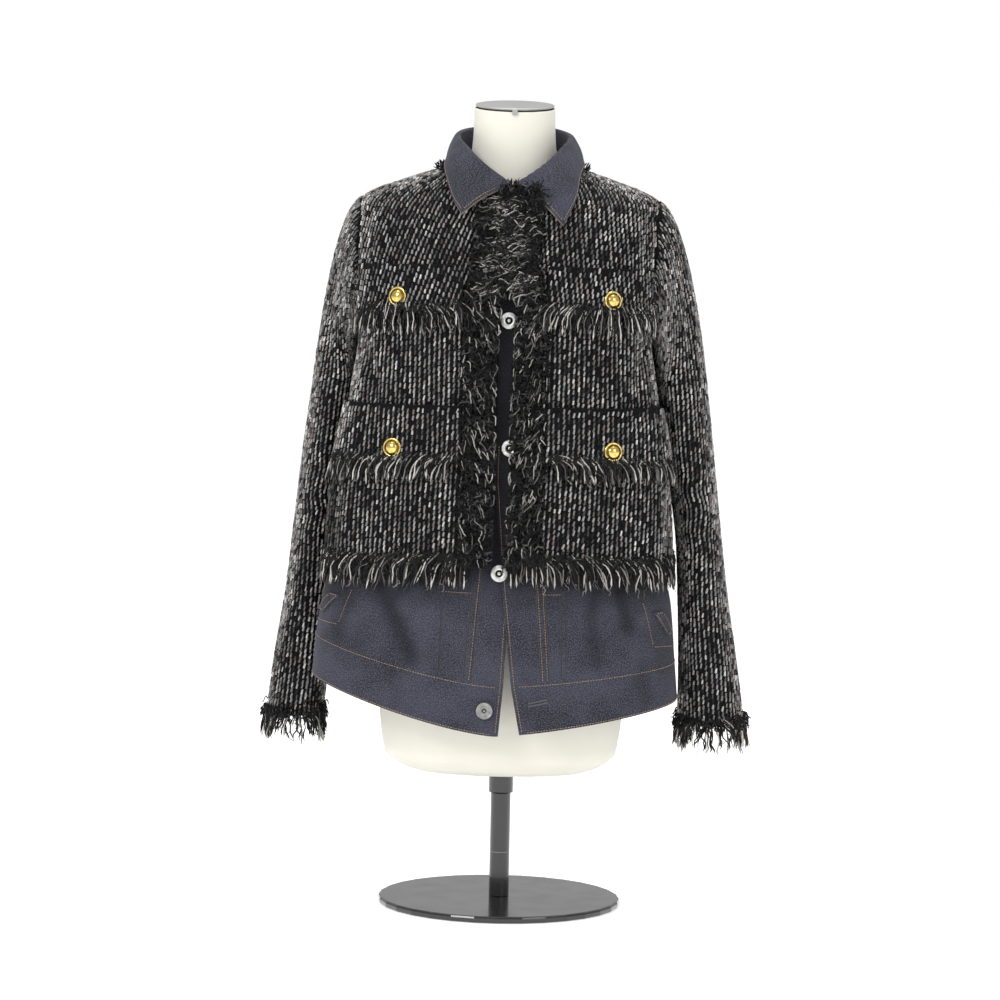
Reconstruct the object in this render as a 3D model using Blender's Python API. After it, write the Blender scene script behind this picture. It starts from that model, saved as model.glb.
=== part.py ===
"""A cropped, collarless tweed jacket with a denim body, collar and skirt sewn in, worn on a
limbless dress form that stands on a short pole and a round base plate.

Metres, +Z up. The front of the jacket faces -Y and the wearer's left arm is on +X.
The origin is on the floor, on the axis of the pole.

Every panel is a wall whose points come from one torso surface. A ring of the torso is a rounded
box seen from above, and the rings run from the hem up to the shoulder tip and then inward over
the shoulder to the neckline. A point of the torso is named by its ring number and by its turn:
0 at the centre front, 0.5 at the side and 1 at the centre back, on the side +1 or -1 of X.
"""

import math

import bmesh
import bpy
import numpy as np

# Sizes of the walls and gaps
TWEED = 0.0026
DENIM = 0.0014
COLLAR_CLOTH = 0.0022
SEAM_GAP = 0.0003
ARMHOLE_GAP = 0.0004
PANEL_GAP = 0.0005
FRINGE = 0.0055

# Torso of the tweed jacket, from the hem to the neckline.
# half: widest half width. y_front, y_side, y_back: the ring's ends and where it is widest.
# z_*: height at the centre front, the side and the centre back. square: 2 is an ellipse.
# shift: how far the ring hangs to one side. dent: how far the arm presses the side in.
# tilt: how much higher the ring hangs at one side than at the other, halved.
TORSO_COLUMNS = (
    "half", "y_front", "y_side", "y_back", "z_front", "z_side", "z_back",
    "square", "shift", "dent", "tilt",
)
TWEED_RINGS = (
    (0.207, -0.140, -0.020, 0.126, 0.410, 0.404, 0.402, 2.7, -0.009, 0.028, 0.0),
    (0.202, -0.136, -0.018, 0.123, 0.470, 0.466, 0.464, 2.7, -0.008, 0.026, 0.0),
    (0.192, -0.132, -0.014, 0.118, 0.535, 0.532, 0.530, 2.7, -0.006, 0.024, 0.0),
    (0.179, -0.132, -0.008, 0.114, 0.600, 0.598, 0.597, 2.8, -0.006, 0.019, 0.0),
    (0.167, -0.134, 0.000, 0.113, 0.658, 0.655, 0.656, 3.0, -0.006, 0.004, 0.0),
    (0.170, -0.130, 0.002, 0.113, 0.705, 0.700, 0.706, 3.0, -0.0065, 0.000, 0.0),
    (0.173, -0.121, 0.003, 0.110, 0.750, 0.748, 0.756, 3.0, -0.006, 0.000, 0.0),
    (0.172, -0.110, 0.004, 0.105, 0.783, 0.792, 0.800, 2.8, -0.004, 0.000, 0.0),
    (0.166, -0.101, 0.005, 0.098, 0.801, 0.814, 0.828, 2.6, -0.002, 0.000, 0.0),
    (0.119, -0.090, 0.005, 0.081, 0.814, 0.834, 0.850, 2.3, -0.001, 0.000, 0.0),
    (0.073, -0.077, 0.003, 0.062, 0.824, 0.849, 0.862, 2.1, -0.001, 0.000, 0.0),
)
UNDERARM_RING = 4
SHOULDER_RING = 8
NECK_RING = 10
TWEED_ROWS_BELOW = [0.0, 0.8, 1.6, 2.4, 3.2]  # rows of the panels below the armhole and above it
TWEED_ROWS_ABOVE = [8.5, 9.2, 10.0]

# Denim skirt below the tweed hem: hem, waistband seam and a ring half way up.
SKIRT_RINGS = (
    (0.2185, -0.155, -0.025, 0.136, 0.215, 0.263, 0.230, 2.6, -0.010, 0.028, 0.012),
    (0.2145, -0.151, -0.024, 0.134, 0.272, 0.308, 0.286, 2.6, -0.010, 0.028, 0.013),
    (0.2080, -0.143, -0.022, 0.129, 0.342, 0.362, 0.348, 2.6, -0.009, 0.028, 0.008),
)
# How far inside the tweed the denim hangs: less width, less front, less back, less height.
DENIM_INSET = {
    "half": 0.0075,
    "y_front": 0.0080,
    "y_back": 0.0075,
    "z_front": 0.0060,
    "z_side": 0.0060,
    "z_back": 0.0060,
}
DENIM_NECK_RING = NECK_RING + len(SKIRT_RINGS)
DENIM_TWEED_HEM = len(SKIRT_RINGS)
BAND_SEAM = 0.006  # half the gap at the waistband seam, in rings
BAND_ROWS = (0.0, 0.5, 1.0 - BAND_SEAM)

# The arm presses the side in round this turn, this share of the dent, over this much of the ring.
DENT_TURN = {1: 0.50, -1: 0.555}
DENT_SHARE = {1: 0.35, -1: 1.0}
DENT_SPREAD = 0.105
FRONT_COLUMNS = 10

# The armhole is an oval on the torso: half its width in turns, and its points all round.
ARMHOLE_WIDTH = 0.118
ARMHOLE_POINTS = 16
DENIM_ARMHOLE_WIDER = 0.012  # in turns
DENIM_ARMHOLE_DEEPER = 0.05  # in rings

# Sleeve sections below the armhole: centre, half across, half deep.
SLEEVE_COLUMNS = ("z", "x", "y", "across", "deep")
SLEEVES = {
    1: (
        (0.600, 0.1975, 0.014, 0.0290, 0.0660),
        (0.520, 0.2090, 0.014, 0.0270, 0.0620),
        (0.440, 0.2205, 0.010, 0.0245, 0.0590),
        (0.360, 0.2280, 0.000, 0.0270, 0.0530),
        (0.285, 0.2350, -0.012, 0.0320, 0.0480),
        (0.219, 0.2395, -0.022, 0.0365, 0.0450),
    ),
    -1: (
        (0.600, 0.1985, 0.022, 0.0265, 0.0660),
        (0.520, 0.2100, 0.034, 0.0255, 0.0620),
        (0.440, 0.2200, 0.046, 0.0245, 0.0580),
        (0.360, 0.2275, 0.050, 0.0255, 0.0520),
        (0.285, 0.2345, 0.046, 0.0300, 0.0470),
        (0.213, 0.2420, 0.040, 0.0315, 0.0440),
    ),
}
# The sleeve head runs from the armhole to the first section on curves. Each pair holds the value
# at the underarm and at the shoulder tip: the slope and the strength with which a curve leaves
# the armhole, and the strength with which it meets the first section.
SLEEVE_HEAD_RINGS = 4
SLEEVE_HEAD_SLOPE = (-0.58, -0.26)
SLEEVE_HEAD_START = (0.0252, 0.1050)
SLEEVE_HEAD_END = (0.0210, 0.1365)
SLEEVE_HEAD_SPREAD = 0.16
SLEEVE_HEAD_BUNCHING = 1.25
SLEEVE_SEAMS = (5, 11)  # the armhole's points where the front and back seams start
SLEEVE_ELBOW_SECTION = 2  # the arm's section where the under sleeve's solid is parted
CUFF_FRINGE = 0.034
CUFF_FRINGE_THICKNESS = 0.0044
CUFF_FLARE = 0.011

# Openings of the fronts, measured from the shifted centre line
FRONT_EDGE_LOW = 0.034
FRONT_EDGE_NECK = 0.024
FRONT_EDGE_CURVE = 3
EDGE_FRINGE_OUTER = 0.044
EDGE_FRINGE_NARROWING = 0.012
EDGE_FRINGE_CLOSED = 0.755  # from this height up the two fringes meet
EDGE_FRINGE_OPEN = 0.695  # and from this height down they stand apart
EDGE_FRINGE_LIFT = 0.0014
EDGE_FRINGE_INNER_LOW = 0.0065
EDGE_FRINGE_INNER_NECK = 0.0005
HEM_FRINGE = 0.036
HEM_FLARE = 0.007
HEM_LIFT = 0.0025
HEM_FRINGE_OVERHANG = 0.004
HEM_FRINGE_SIDE_GAP = 0.002  # in turns, from the side seam

# Flaps: heights on the front, ends along the cloth from the centre line, and the button's place.
FLAP_COLUMNS = ("name", "z_top", "z_bottom", "inner", "outer", "button_x", "button_z")
FLAPS = (
    ("upper", 0.740, 0.691, 0.047, 0.185, 0.1180, 0.7070),
    ("lower", 0.583, 0.520, 0.047, 0.231, 0.1220, 0.5365),
)
FLAP_LIFT_TOP = 0.0020
FLAP_LIFT_BOTTOM = 0.0042
FLAP_FRINGE = 0.029
FLAP_FRINGE_FLARE = 0.003
FLAP_SIDE_FRINGE = 0.006
FLAP_FRINGE_GAP = 0.008  # in rings, below the flap's edge
FLAP_FRINGE_THICKNESS = 0.0044
FLAP_SIDE_FRINGE_THICKNESS = 0.0034
FLAP_ROWS = 4
FLAP_COLUMNS_OF_POINTS = 9

# Denim fronts: where each front's edge lies across the form, by height
DENIM_HEIGHTS = (0.200, 0.269, 0.400, 0.500, 0.850)
DENIM_EDGES = {
    1: (0.022, 0.009, -0.006, -0.014, -0.010),
    -1: (-0.006, 0.000, 0.006, 0.006, 0.006),
}
DENIM_TUCK = 0.0024
DENIM_TUCK_WIDTH = 0.030
DENIM_TUCK_START = 0.6
# Where the seam between each denim front's centre and side panels lies, at the same heights
DENIM_SEAMS = {
    1: (0.0485, 0.0475, 0.038, 0.036, 0.030),
    -1: (-0.0430, -0.0415, -0.031, -0.031, -0.030),
}
# Columns of the denim back where the seams between its centre and its two sides lie
DENIM_BACK_SEAMS = (3, 9)

# Side pocket welts on the denim fronts: turn of the slanting strip's foot and head, and the height
# of their ring at the centre front
WELT_FOOT = (0.395, 0.3090)
WELT_HEAD = (0.352, 0.3430)
WELT_WIDTH = 0.018
WELT_LIFT = 0.0010

# Turned-down denim collar, per side from the centre front round to the centre back.
COLLAR_COLUMNS = (
    "turn", "fold_x", "fold_y", "fold_z", "edge_x", "edge_y", "edge_z"
)
COLLAR_STATIONS = (
    (0.01, 0.0035, -0.088, 0.8320, 0.057, -0.119, 0.7970),
    (0.18, 0.034, -0.077, 0.8530, 0.070, -0.097, 0.8190),
    (0.36, 0.057, -0.043, 0.8745, 0.0765, -0.050, 0.8445),
    (0.52, 0.065, 0.000, 0.8850, 0.0775, 0.003, 0.8570),
    (0.70, 0.053, 0.042, 0.8920, 0.063, 0.056, 0.8660),
    (0.85, 0.030, 0.060, 0.8950, 0.035, 0.075, 0.8700),
    (1.00, 0.000, 0.066, 0.8960, 0.000, 0.081, 0.8720),
)
COLLAR_STEPS = 13  # cross sections on each half of the collar
COLLAR_TIP_DROP = {1: 0.010, -1: 0.0}  # one point of the collar hangs lower
COLLAR_FOLD_RADIUS = 0.003
COLLAR_BULGE = 0.003  # how far the leaf bows out half way down
COLLAR_SEAM_GAP = 0.0028  # from the denim's neckline to the collar's foot

# Buttons: gold domes with a rim on the flaps, silver ring-topped tack buttons on the denim
GOLD_RADIUS = 0.0105
GOLD_PROFILE = (
    (1.00, 0.0000), (1.04, 0.0010), (0.98, 0.0022), (0.86, 0.0021), (0.80, 0.0014), (0.74, 0.0020),
    (0.55, 0.0042), (0.30, 0.0054), (0.00, 0.0058),
)
SILVER_RADIUS = 0.0096
SILVER_PROFILE = (
    (0.96, 0.0000), (1.00, 0.0011), (0.90, 0.0022), (0.62, 0.0024), (0.42, 0.0013), (0.26, 0.0012),
    (0.16, 0.0019), (0.00, 0.0021),
)
SILVER_HEIGHTS = (  # name, height, distance from the centre line
    ("top", 0.6800, 0.0045),
    ("middle", 0.5370, 0.0080),
    ("low", 0.3965, 0.0020),
)
WAIST_BUTTON = (-0.0205, 0.2430)  # x and height on the waistband
GOLD_SHANK_GAP = 0.0009  # from the flap to the button's back
SILVER_GAP = 0.0008
BUTTON_SIDES = 16

# Dress form, from its foot to the top of the neck
FORM_RINGS = (
    (0.085, -0.060, 0.002, 0.066, 0.1545, 0.1535, 0.1545, 2.2, -0.002, 0.0, 0.0),
    (0.117, -0.086, 0.002, 0.092, 0.1610, 0.1600, 0.1610, 2.3, -0.002, 0.0, 0.0),
    (0.135, -0.100, 0.002, 0.106, 0.1770, 0.1760, 0.1770, 2.3, -0.002, 0.0, 0.0),
    (0.1425, -0.107, 0.002, 0.112, 0.2180, 0.2180, 0.2180, 2.3, -0.002, 0.0, 0.0),
    (0.142, -0.104, 0.002, 0.112, 0.2800, 0.2800, 0.2800, 2.3, -0.002, 0.0, 0.0),
    (0.130, -0.094, 0.002, 0.098, 0.3700, 0.3700, 0.3700, 2.2, -0.002, 0.0, 0.0),
    (0.112, -0.086, 0.000, 0.080, 0.4700, 0.4700, 0.4700, 2.2, -0.001, 0.0, 0.0),
    (0.124, -0.100, 0.000, 0.084, 0.5700, 0.5700, 0.5700, 2.2, -0.001, 0.0, 0.0),
    (0.136, -0.112, 0.002, 0.092, 0.6600, 0.6600, 0.6600, 2.3, 0.000, 0.0, 0.0),
    (0.142, -0.104, 0.004, 0.094, 0.7300, 0.7300, 0.7350, 2.4, 0.000, 0.0, 0.0),
    (0.146, -0.086, 0.005, 0.086, 0.7700, 0.7850, 0.7900, 2.4, 0.000, 0.0, 0.0),
    (0.104, -0.068, 0.005, 0.068, 0.7980, 0.8130, 0.8250, 2.2, 0.000, 0.0, 0.0),
    (0.060, -0.050, 0.002, 0.054, 0.8200, 0.8340, 0.8450, 2.0, 0.000, 0.0, 0.0),
    (0.0480, -0.046, 0.001, 0.050, 0.8520, 0.8580, 0.8640, 2.0, 0.000, 0.0, 0.0),
    (0.0465, -0.046, 0.000, 0.047, 0.9060, 0.9110, 0.9160, 2.0, 0.000, 0.0, 0.0),
)
CAP_RINGS = (
    (0.0440, -0.0440, 0.000, 0.0445, 0.9065, 0.9115, 0.9165, 2.0, 0.000, 0.0, 0.0),
    (0.0460, -0.0460, 0.000, 0.0465, 0.9075, 0.9125, 0.9175, 2.0, 0.000, 0.0, 0.0),
    (0.0455, -0.0455, 0.000, 0.0460, 0.9140, 0.9190, 0.9240, 2.0, 0.000, 0.0, 0.0),
    (0.0430, -0.0430, 0.000, 0.0435, 0.9160, 0.9210, 0.9260, 2.0, 0.000, 0.0, 0.0),
)
CAP_TAB = (0.006, 0.0025, 0.004)  # wide, deep, tall
CAP_TAB_RING = 1.5
CAP_TAB_DROP = 0.001
FORM_POINTS = 13  # points on each half of a ring of the form

# Pole, its collar under the form, and the base plate
POLE_RADIUS = 0.0116
POLE_COLLAR_RADIUS = 0.0143
POLE_COLLAR_FOOT = 0.129
FORM_FOOT = 0.1535
BASE_RADIUS = 0.140
BASE_THICKNESS = 0.008
BASE_BEVEL = 0.0025
POLE_BEVEL = 0.0004
POLE_COLLAR_BEVEL = 0.0012
ROUND_SIDES = 32

# Colours: red, green, blue, roughness, metallic
FINISHES = {
    "tweed": (0.030, 0.030, 0.033, 0.95, 0.0),
    "fringe": (0.020, 0.020, 0.022, 0.95, 0.0),
    "denim": (0.052, 0.056, 0.090, 0.90, 0.0),
    "gold": (0.830, 0.600, 0.200, 0.22, 1.0),
    "silver": (0.620, 0.620, 0.600, 0.30, 1.0),
    "form_cover": (0.790, 0.770, 0.690, 0.80, 0.0),
    "cap_metal": (0.420, 0.420, 0.420, 0.35, 0.6),
    "black_gloss": (0.008, 0.008, 0.009, 0.20, 0.0),
}


def start_clean():
    for old in list(bpy.data.objects):
        bpy.data.objects.remove(old, do_unlink=True)


def finish(name):
    """The material of that name, made on first use."""
    if name in bpy.data.materials:
        return bpy.data.materials[name]
    red, green, blue, roughness, metallic = FINISHES[name]
    material = bpy.data.materials.new(name)
    material.use_nodes = True
    shader = material.node_tree.nodes["Principled BSDF"]
    shader.inputs["Base Color"].default_value = (red, green, blue, 1.0)
    shader.inputs["Roughness"].default_value = roughness
    shader.inputs["Metallic"].default_value = metallic
    return material


def add_object(name, points, faces, material):
    """A closed mesh, its faces turned outward, shaded smooth with sharp rims."""
    shape = bmesh.new()
    corners = [shape.verts.new(point) for point in points]
    for face in faces:
        shape.faces.new([corners[index] for index in face])
    bmesh.ops.recalc_face_normals(shape, faces=shape.faces)
    mesh = bpy.data.meshes.new(name)
    shape.to_mesh(mesh)
    shape.free()
    mesh.materials.append(finish(material))
    mesh.shade_smooth()
    mesh.set_sharp_from_angle(angle=math.radians(40))
    bpy.context.scene.collection.objects.link(bpy.data.objects.new(name, mesh))


def unit(vectors):
    return vectors / np.maximum(np.linalg.norm(vectors, axis=-1, keepdims=True), 1e-12)


def wall_faces(rows, columns, round_):
    """Faces of a wall whose outer grid comes first and inner grid second, with closed rims.

    Both grids are cut along the same diagonals, so the wall is equally thick all over.
    """
    layer = rows * columns
    last = columns if round_ else columns - 1
    faces = []
    for row in range(rows - 1):
        for column in range(last):
            here = row * columns + column
            right = row * columns + (column + 1) % columns
            for corners in ((here, right, right + columns), (here, right + columns, here + columns)):
                faces.append(corners)
                faces.append(tuple(index + layer for index in reversed(corners)))
    for column in range(last):
        right = (column + 1) % columns
        top = (rows - 1) * columns
        faces.append((column, column + layer, right + layer, right))
        faces.append((top + column, top + right, top + right + layer, top + column + layer))
    if not round_:
        for row in range(rows - 1):
            near = row * columns
            far = near + columns - 1
            faces.append((near, near + columns, near + columns + layer, near + layer))
            faces.append((far, far + layer, far + columns + layer, far + columns))
    return faces


def add_wall(name, outer, inner, material, round_=False):
    rows, columns = outer.shape[:2]
    points = np.concatenate([outer.reshape(-1, 3), inner.reshape(-1, 3)])
    add_object(name, points, wall_faces(rows, columns, round_), material)


def smooth_row(rows, place):
    """The row at a place between rows, on a smooth curve through them."""
    table = np.array(rows)
    last = len(table) - 1
    first = int(min(max(math.floor(place), 0), last - 1))
    share = place - first
    a = table[max(first - 1, 0)]
    b = table[first]
    c = table[first + 1]
    d = table[min(first + 2, last)]
    start = (c - a) / 2 if first > 0 else c - b
    end = (d - b) / 2 if first + 2 <= last else c - b
    cube = share ** 3
    square = share ** 2
    return (
        (2 * cube - 3 * square + 1) * b
        + (cube - 2 * square + share) * start
        + (3 * square - 2 * cube) * c
        + (cube - square) * end
    )


def between_rows(rings, ring):
    """One ring's numbers, by name."""
    return dict(zip(TORSO_COLUMNS, smooth_row(rings, ring)))


RING_STEPS = np.linspace(0, math.pi, 241)
RISE_CURVE = 1.35  # how a ring's height goes from its front to its side: 1 is a straight slope


def ring_outline(rings, ring, side):
    """Fine points of half a ring from centre front to centre back, and the turn of each."""
    row = between_rows(rings, ring)
    power = 2 / row["square"]
    across = np.abs(np.sin(RING_STEPS)) ** power
    along = np.abs(np.cos(RING_STEPS)) ** power
    front = RING_STEPS <= math.pi / 2
    y_end = np.where(front, row["y_front"], row["y_back"])
    z_end = np.where(front, row["z_front"], row["z_back"])
    y = row["y_side"] + (y_end - row["y_side"]) * along
    flat = np.stack([row["half"] * across, y], axis=1)
    lengths = np.concatenate([[0.0], np.cumsum(np.linalg.norm(np.diff(flat, axis=0), axis=1))])
    middle = lengths[np.argmax(flat[:, 0])]
    rest = lengths[-1] - middle
    turns = np.where(lengths <= middle, 0.5 * lengths / middle, 0.5 + 0.5 * (lengths - middle) / rest)
    nearness = np.exp(-(((turns - DENT_TURN[side]) / DENT_SPREAD) ** 2))
    dent = row["dent"] * DENT_SHARE[side] * nearness
    rise = across ** RISE_CURVE
    height = z_end + (row["z_side"] - side * row["tilt"] - z_end) * rise
    x = side * (flat[:, 0] - dent * across) + row["shift"]
    return turns, np.stack([x, flat[:, 1], height], axis=1)


def surface(rings, ring, turn, side):
    """The point at that ring and turn. A turn under 0 or over 1 carries on round the other side."""
    if turn < 0:
        return surface(rings, ring, -turn, -side)
    if turn > 1:
        return surface(rings, ring, 2 - turn, -side)
    turns, points = ring_outline(rings, ring, side)
    return np.array([np.interp(turn, turns, points[:, axis]) for axis in range(3)])


def outward(rings, ring, turn, side):
    """The torso's outward normal there, the same for every piece that meets at that point."""
    small_turn = 0.012
    small_ring = 0.12
    top = len(rings) - 1
    low = max(ring - small_ring, 0)
    high = min(ring + small_ring, top)
    up = surface(rings, high, turn, side) - surface(rings, low, turn, side)
    after = surface(rings, ring, turn + small_turn, side)
    before = surface(rings, ring, turn - small_turn, side)
    return unit(np.cross(after - before, up) * side)


def quarter_length(rings, ring):
    """Length of cloth from the centre front to the side, before the arm presses it in."""
    row = between_rows(rings, ring)
    front = RING_STEPS[RING_STEPS <= math.pi / 2]
    x = row["half"] * np.sin(front) ** (2 / row["square"])
    y = (row["y_front"] - row["y_side"]) * np.abs(np.cos(front)) ** (2 / row["square"])
    return float(np.hypot(np.diff(x), np.diff(y)).sum())


def cloth_turn(rings, ring, length):
    """The turn that lies that far along the cloth from the centre front."""
    return 0.5 * length / quarter_length(rings, ring)


def turn_at(rings, ring, side, distance):
    """The turn on the front where the ring is that far from its own centre line."""
    row = between_rows(rings, ring)
    turns, points = ring_outline(rings, ring, side)
    front = turns <= 0.5
    reach = np.maximum.accumulate(side * (points[front, 0] - row["shift"]))
    return float(np.interp(distance, reach, turns[front]))


def ring_at_height(rings, height):
    """The ring whose centre front is at that height."""
    steps = np.linspace(0, len(rings) - 1, 400)
    heights = [between_rows(rings, step)["z_front"] for step in steps]
    return float(np.interp(height, heights, steps))


def panel(rings, ring_numbers, turn_grid, side, lift=0.0):
    """Grid of torso points, moved out by lift, and their outward normals."""
    points = np.zeros(turn_grid.shape + (3,))
    normals = np.zeros_like(points)
    for row, ring in enumerate(ring_numbers):
        for column, turn in enumerate(turn_grid[row]):
            points[row, column] = surface(rings, ring, turn, side)
            normals[row, column] = outward(rings, ring, turn, side)
    lifts = np.broadcast_to(np.asarray(lift, float), turn_grid.shape)
    return points + normals * lifts[..., None], normals


def denim_rings():
    """The skirt's own rings, then the tweed's rings brought in so that the denim hangs inside."""
    inset = [DENIM_INSET.get(column, 0.0) for column in TORSO_COLUMNS]
    signs = {"y_front": -1, "y_back": 1}
    rows = [list(row) for row in SKIRT_RINGS]
    for ring in TWEED_RINGS:
        row = []
        for column, value, less in zip(TORSO_COLUMNS, ring, inset):
            row.append(value - signs.get(column, 1) * less)
        rows.append(row)
    return tuple(tuple(row) for row in rows)


DENIM_RINGS = denim_rings()


def armhole_angles():
    return np.arange(ARMHOLE_POINTS) * 2 * math.pi / ARMHOLE_POINTS


def armhole_place(angle):
    """Ring and turn of a point of the armhole: 0 is the shoulder tip, a quarter turn the front."""
    middle = (UNDERARM_RING + SHOULDER_RING) / 2
    reach = (SHOULDER_RING - UNDERARM_RING) / 2
    return middle + reach * math.cos(angle), 0.5 - ARMHOLE_WIDTH * math.sin(angle)


def armhole_rings():
    """The rings that the panels' rows take beside the armhole, low to high."""
    half_way = ARMHOLE_POINTS // 2
    angles = armhole_angles()[: half_way + 1]
    return [armhole_place(angle)[0] for angle in reversed(angles)]


def section_points(section, side):
    """The outer points of one sleeve section, in the armhole's order."""
    row = dict(zip(SLEEVE_COLUMNS, section))
    angles = armhole_angles()
    x = side * (row["x"] + row["across"] * np.cos(angles))
    y = row["y"] - row["deep"] * np.sin(angles)
    z = np.full_like(x, row["z"])
    return np.stack([x, y, z], axis=1)


def sleeve_rings(side):
    """The sleeve's outer rings: the armhole, the head's curves, then the arm's sections."""
    places = [armhole_place(angle) for angle in armhole_angles()]
    seam = np.array([surface(TWEED_RINGS, *place, side) for place in places])
    first = section_points(SLEEVES[side][0], side)
    second = section_points(SLEEVES[side][1], side)
    angles = armhole_angles()
    height = (np.cos(angles) + 1) / 2
    leave = np.stack(
        [
            np.full_like(height, side),
            -SLEEVE_HEAD_SPREAD * np.sin(angles),
            np.interp(height, (0, 1), SLEEVE_HEAD_SLOPE),
        ],
        axis=1,
    )
    start = unit(leave) * np.interp(height, (0, 1), SLEEVE_HEAD_START)[:, None]
    end = unit(second - first) * np.interp(height, (0, 1), SLEEVE_HEAD_END)[:, None]
    rings = [seam]
    for step in range(1, SLEEVE_HEAD_RINGS):
        share = (step / SLEEVE_HEAD_RINGS) ** SLEEVE_HEAD_BUNCHING
        cube = share ** 3
        square = share ** 2
        rings.append(
            (2 * cube - 3 * square + 1) * seam
            + (cube - 2 * square + share) * start
            + (3 * square - 2 * cube) * first
            + (cube - square) * end
        )
    rings.append(first)
    for section in SLEEVES[side][1:]:
        rings.append(section_points(section, side))
    return np.array(rings), seam


def tube_normals(rings, side):
    """Outward normals of a tube's grid of rings."""
    along = np.gradient(rings, axis=0)
    around = (np.roll(rings, -1, axis=1) - np.roll(rings, 1, axis=1)) / 2
    return unit(np.cross(around, along)) * side


def armhole_mitre(side):
    """Direction from the outer to the inner edge of the armhole seam, shared by panel and sleeve."""
    rings, seam = sleeve_rings(side)
    sleeve_out = tube_normals(rings[:3], side)[0]
    around = unit(np.roll(seam, -1, axis=0) - np.roll(seam, 1, axis=0))
    places = [armhole_place(angle) for angle in armhole_angles()]
    panel_out = np.array([outward(TWEED_RINGS, *place, side) for place in places])
    middle = unit(panel_out + sleeve_out)
    middle = unit(middle - (middle * around).sum(axis=1, keepdims=True) * around)
    spread = np.clip((middle * panel_out).sum(axis=1, keepdims=True), 0.6, 1.0)
    inward = -middle * TWEED / spread
    away = unit(np.cross(around, middle)) * side
    return inward, away


def seamed_part(grid, first, last):
    """A grid's columns from one seam to the other, each end half a seam's gap short."""
    columns = [index % grid.shape[1] for index in range(first, last + 1)]
    part = grid[:, columns].copy()
    for end, beside in ((0, 1), (-1, -2)):
        part[:, end] += unit(part[:, beside] - part[:, end]) * PANEL_GAP / 2
    return part


def build_sleeve(side, word):
    rings, _ = sleeve_rings(side)
    normals = tube_normals(rings, side)
    normals[-1] = level_ways(normals[-1])
    inner = rings - normals * TWEED
    inward, away = armhole_mitre(side)
    toward = ((rings[1] - rings[0]) * away).sum(axis=1, keepdims=True)
    step = away * np.sign(toward) * ARMHOLE_GAP
    rings = rings.copy()
    rings[0] = rings[0] + step
    inner[0] = rings[0] + inward
    front, back = SLEEVE_SEAMS
    top = [seamed_part(grid, back, front + ARMHOLE_POINTS) for grid in (rings, inner)]
    add_wall(f"tweed_sleeve_top_{word}", *top, "tweed")
    under = [seamed_part(grid, front, back).transpose(1, 0, 2) for grid in (rings, inner)]
    elbow = SLEEVE_HEAD_RINGS + SLEEVE_ELBOW_SECTION
    for piece, first, last in (("upper", 0, elbow), ("lower", elbow, len(rings) - 1)):
        halves = [seamed_part(grid, first, last).transpose(1, 0, 2) for grid in under]
        add_wall(f"tweed_sleeve_under_{piece}_{word}", *halves, "tweed")
    cuff = rings[-1]
    middle = cuff.mean(axis=0)
    spread = unit(cuff - middle)
    top = cuff + np.array([0, 0, -SEAM_GAP])
    levels = (0.0, 0.5, 1.0)
    growth = spread * CUFF_FLARE - np.array([0, 0, CUFF_FRINGE])
    outer = np.array([top + growth * level for level in levels])
    within = outer - spread * CUFF_FRINGE_THICKNESS
    add_wall(f"cuff_fringe_{word}", outer, within, "fringe", round_=True)


def front_edge(height):
    """Distance of the woven front edge from the centre line."""
    low = TWEED_RINGS[0][4]
    high = TWEED_RINGS[NECK_RING][4]
    share = min(max((height - low) / (high - low), 0), 1)
    return FRONT_EDGE_LOW + (FRONT_EDGE_NECK - FRONT_EDGE_LOW) * share ** FRONT_EDGE_CURVE


def side_turn(rings, ring, side, front, low, high, gap, width=ARMHOLE_WIDTH):
    """The turn of a panel's far edge: the side seam, the armhole's edge or the shoulder seam."""
    length = np.linalg.norm(surface(rings, ring, 0.45, side) - surface(rings, ring, 0.55, side)) / 0.1
    turn_gap = gap / 2 / length
    middle = (low + high) / 2
    reach = (high - low) / 2
    inside = 1 - ((ring - middle) / reach) ** 2
    hole = width * math.sqrt(max(inside, 0.0))
    offset = max(hole, turn_gap)
    return 0.5 - offset if front else 0.5 + offset


def tweed_row_numbers():
    return TWEED_ROWS_BELOW + armhole_rings() + TWEED_ROWS_ABOVE


def set_armhole_inner(outer, inner, numbers, column, side, front):
    """Gives the panel's armhole points the mitred inner edge that the sleeve shares."""
    inward, _ = armhole_mitre(side)
    count = ARMHOLE_POINTS // 2
    for row, ring in enumerate(numbers):
        if UNDERARM_RING - 1e-6 <= ring <= SHOULDER_RING + 1e-6:
            middle = (UNDERARM_RING + SHOULDER_RING) / 2
            reach = (SHOULDER_RING - UNDERARM_RING) / 2
            angle = math.acos(min(max((ring - middle) / reach, -1), 1))
            index = round(angle / (math.pi / count))
            if not front:
                index = (ARMHOLE_POINTS - index) % ARMHOLE_POINTS
            inner[row, column] = outer[row, column] + inward[index]


def build_tweed_front(side, word):
    numbers = tweed_row_numbers()
    columns = FRONT_COLUMNS
    grid = np.zeros((len(numbers), columns))
    for row, ring in enumerate(numbers):
        height = between_rows(TWEED_RINGS, ring)["z_front"]
        near = turn_at(TWEED_RINGS, ring, side, front_edge(height))
        far = side_turn(TWEED_RINGS, ring, side, True, UNDERARM_RING, SHOULDER_RING, SEAM_GAP)
        grid[row] = np.linspace(near, far, columns)
    outer, normals = panel(TWEED_RINGS, numbers, grid, side)
    inner = outer - normals * TWEED
    set_armhole_inner(outer, inner, numbers, columns - 1, side, True)
    add_wall(f"tweed_front_{word}", outer, inner, "tweed")


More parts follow.
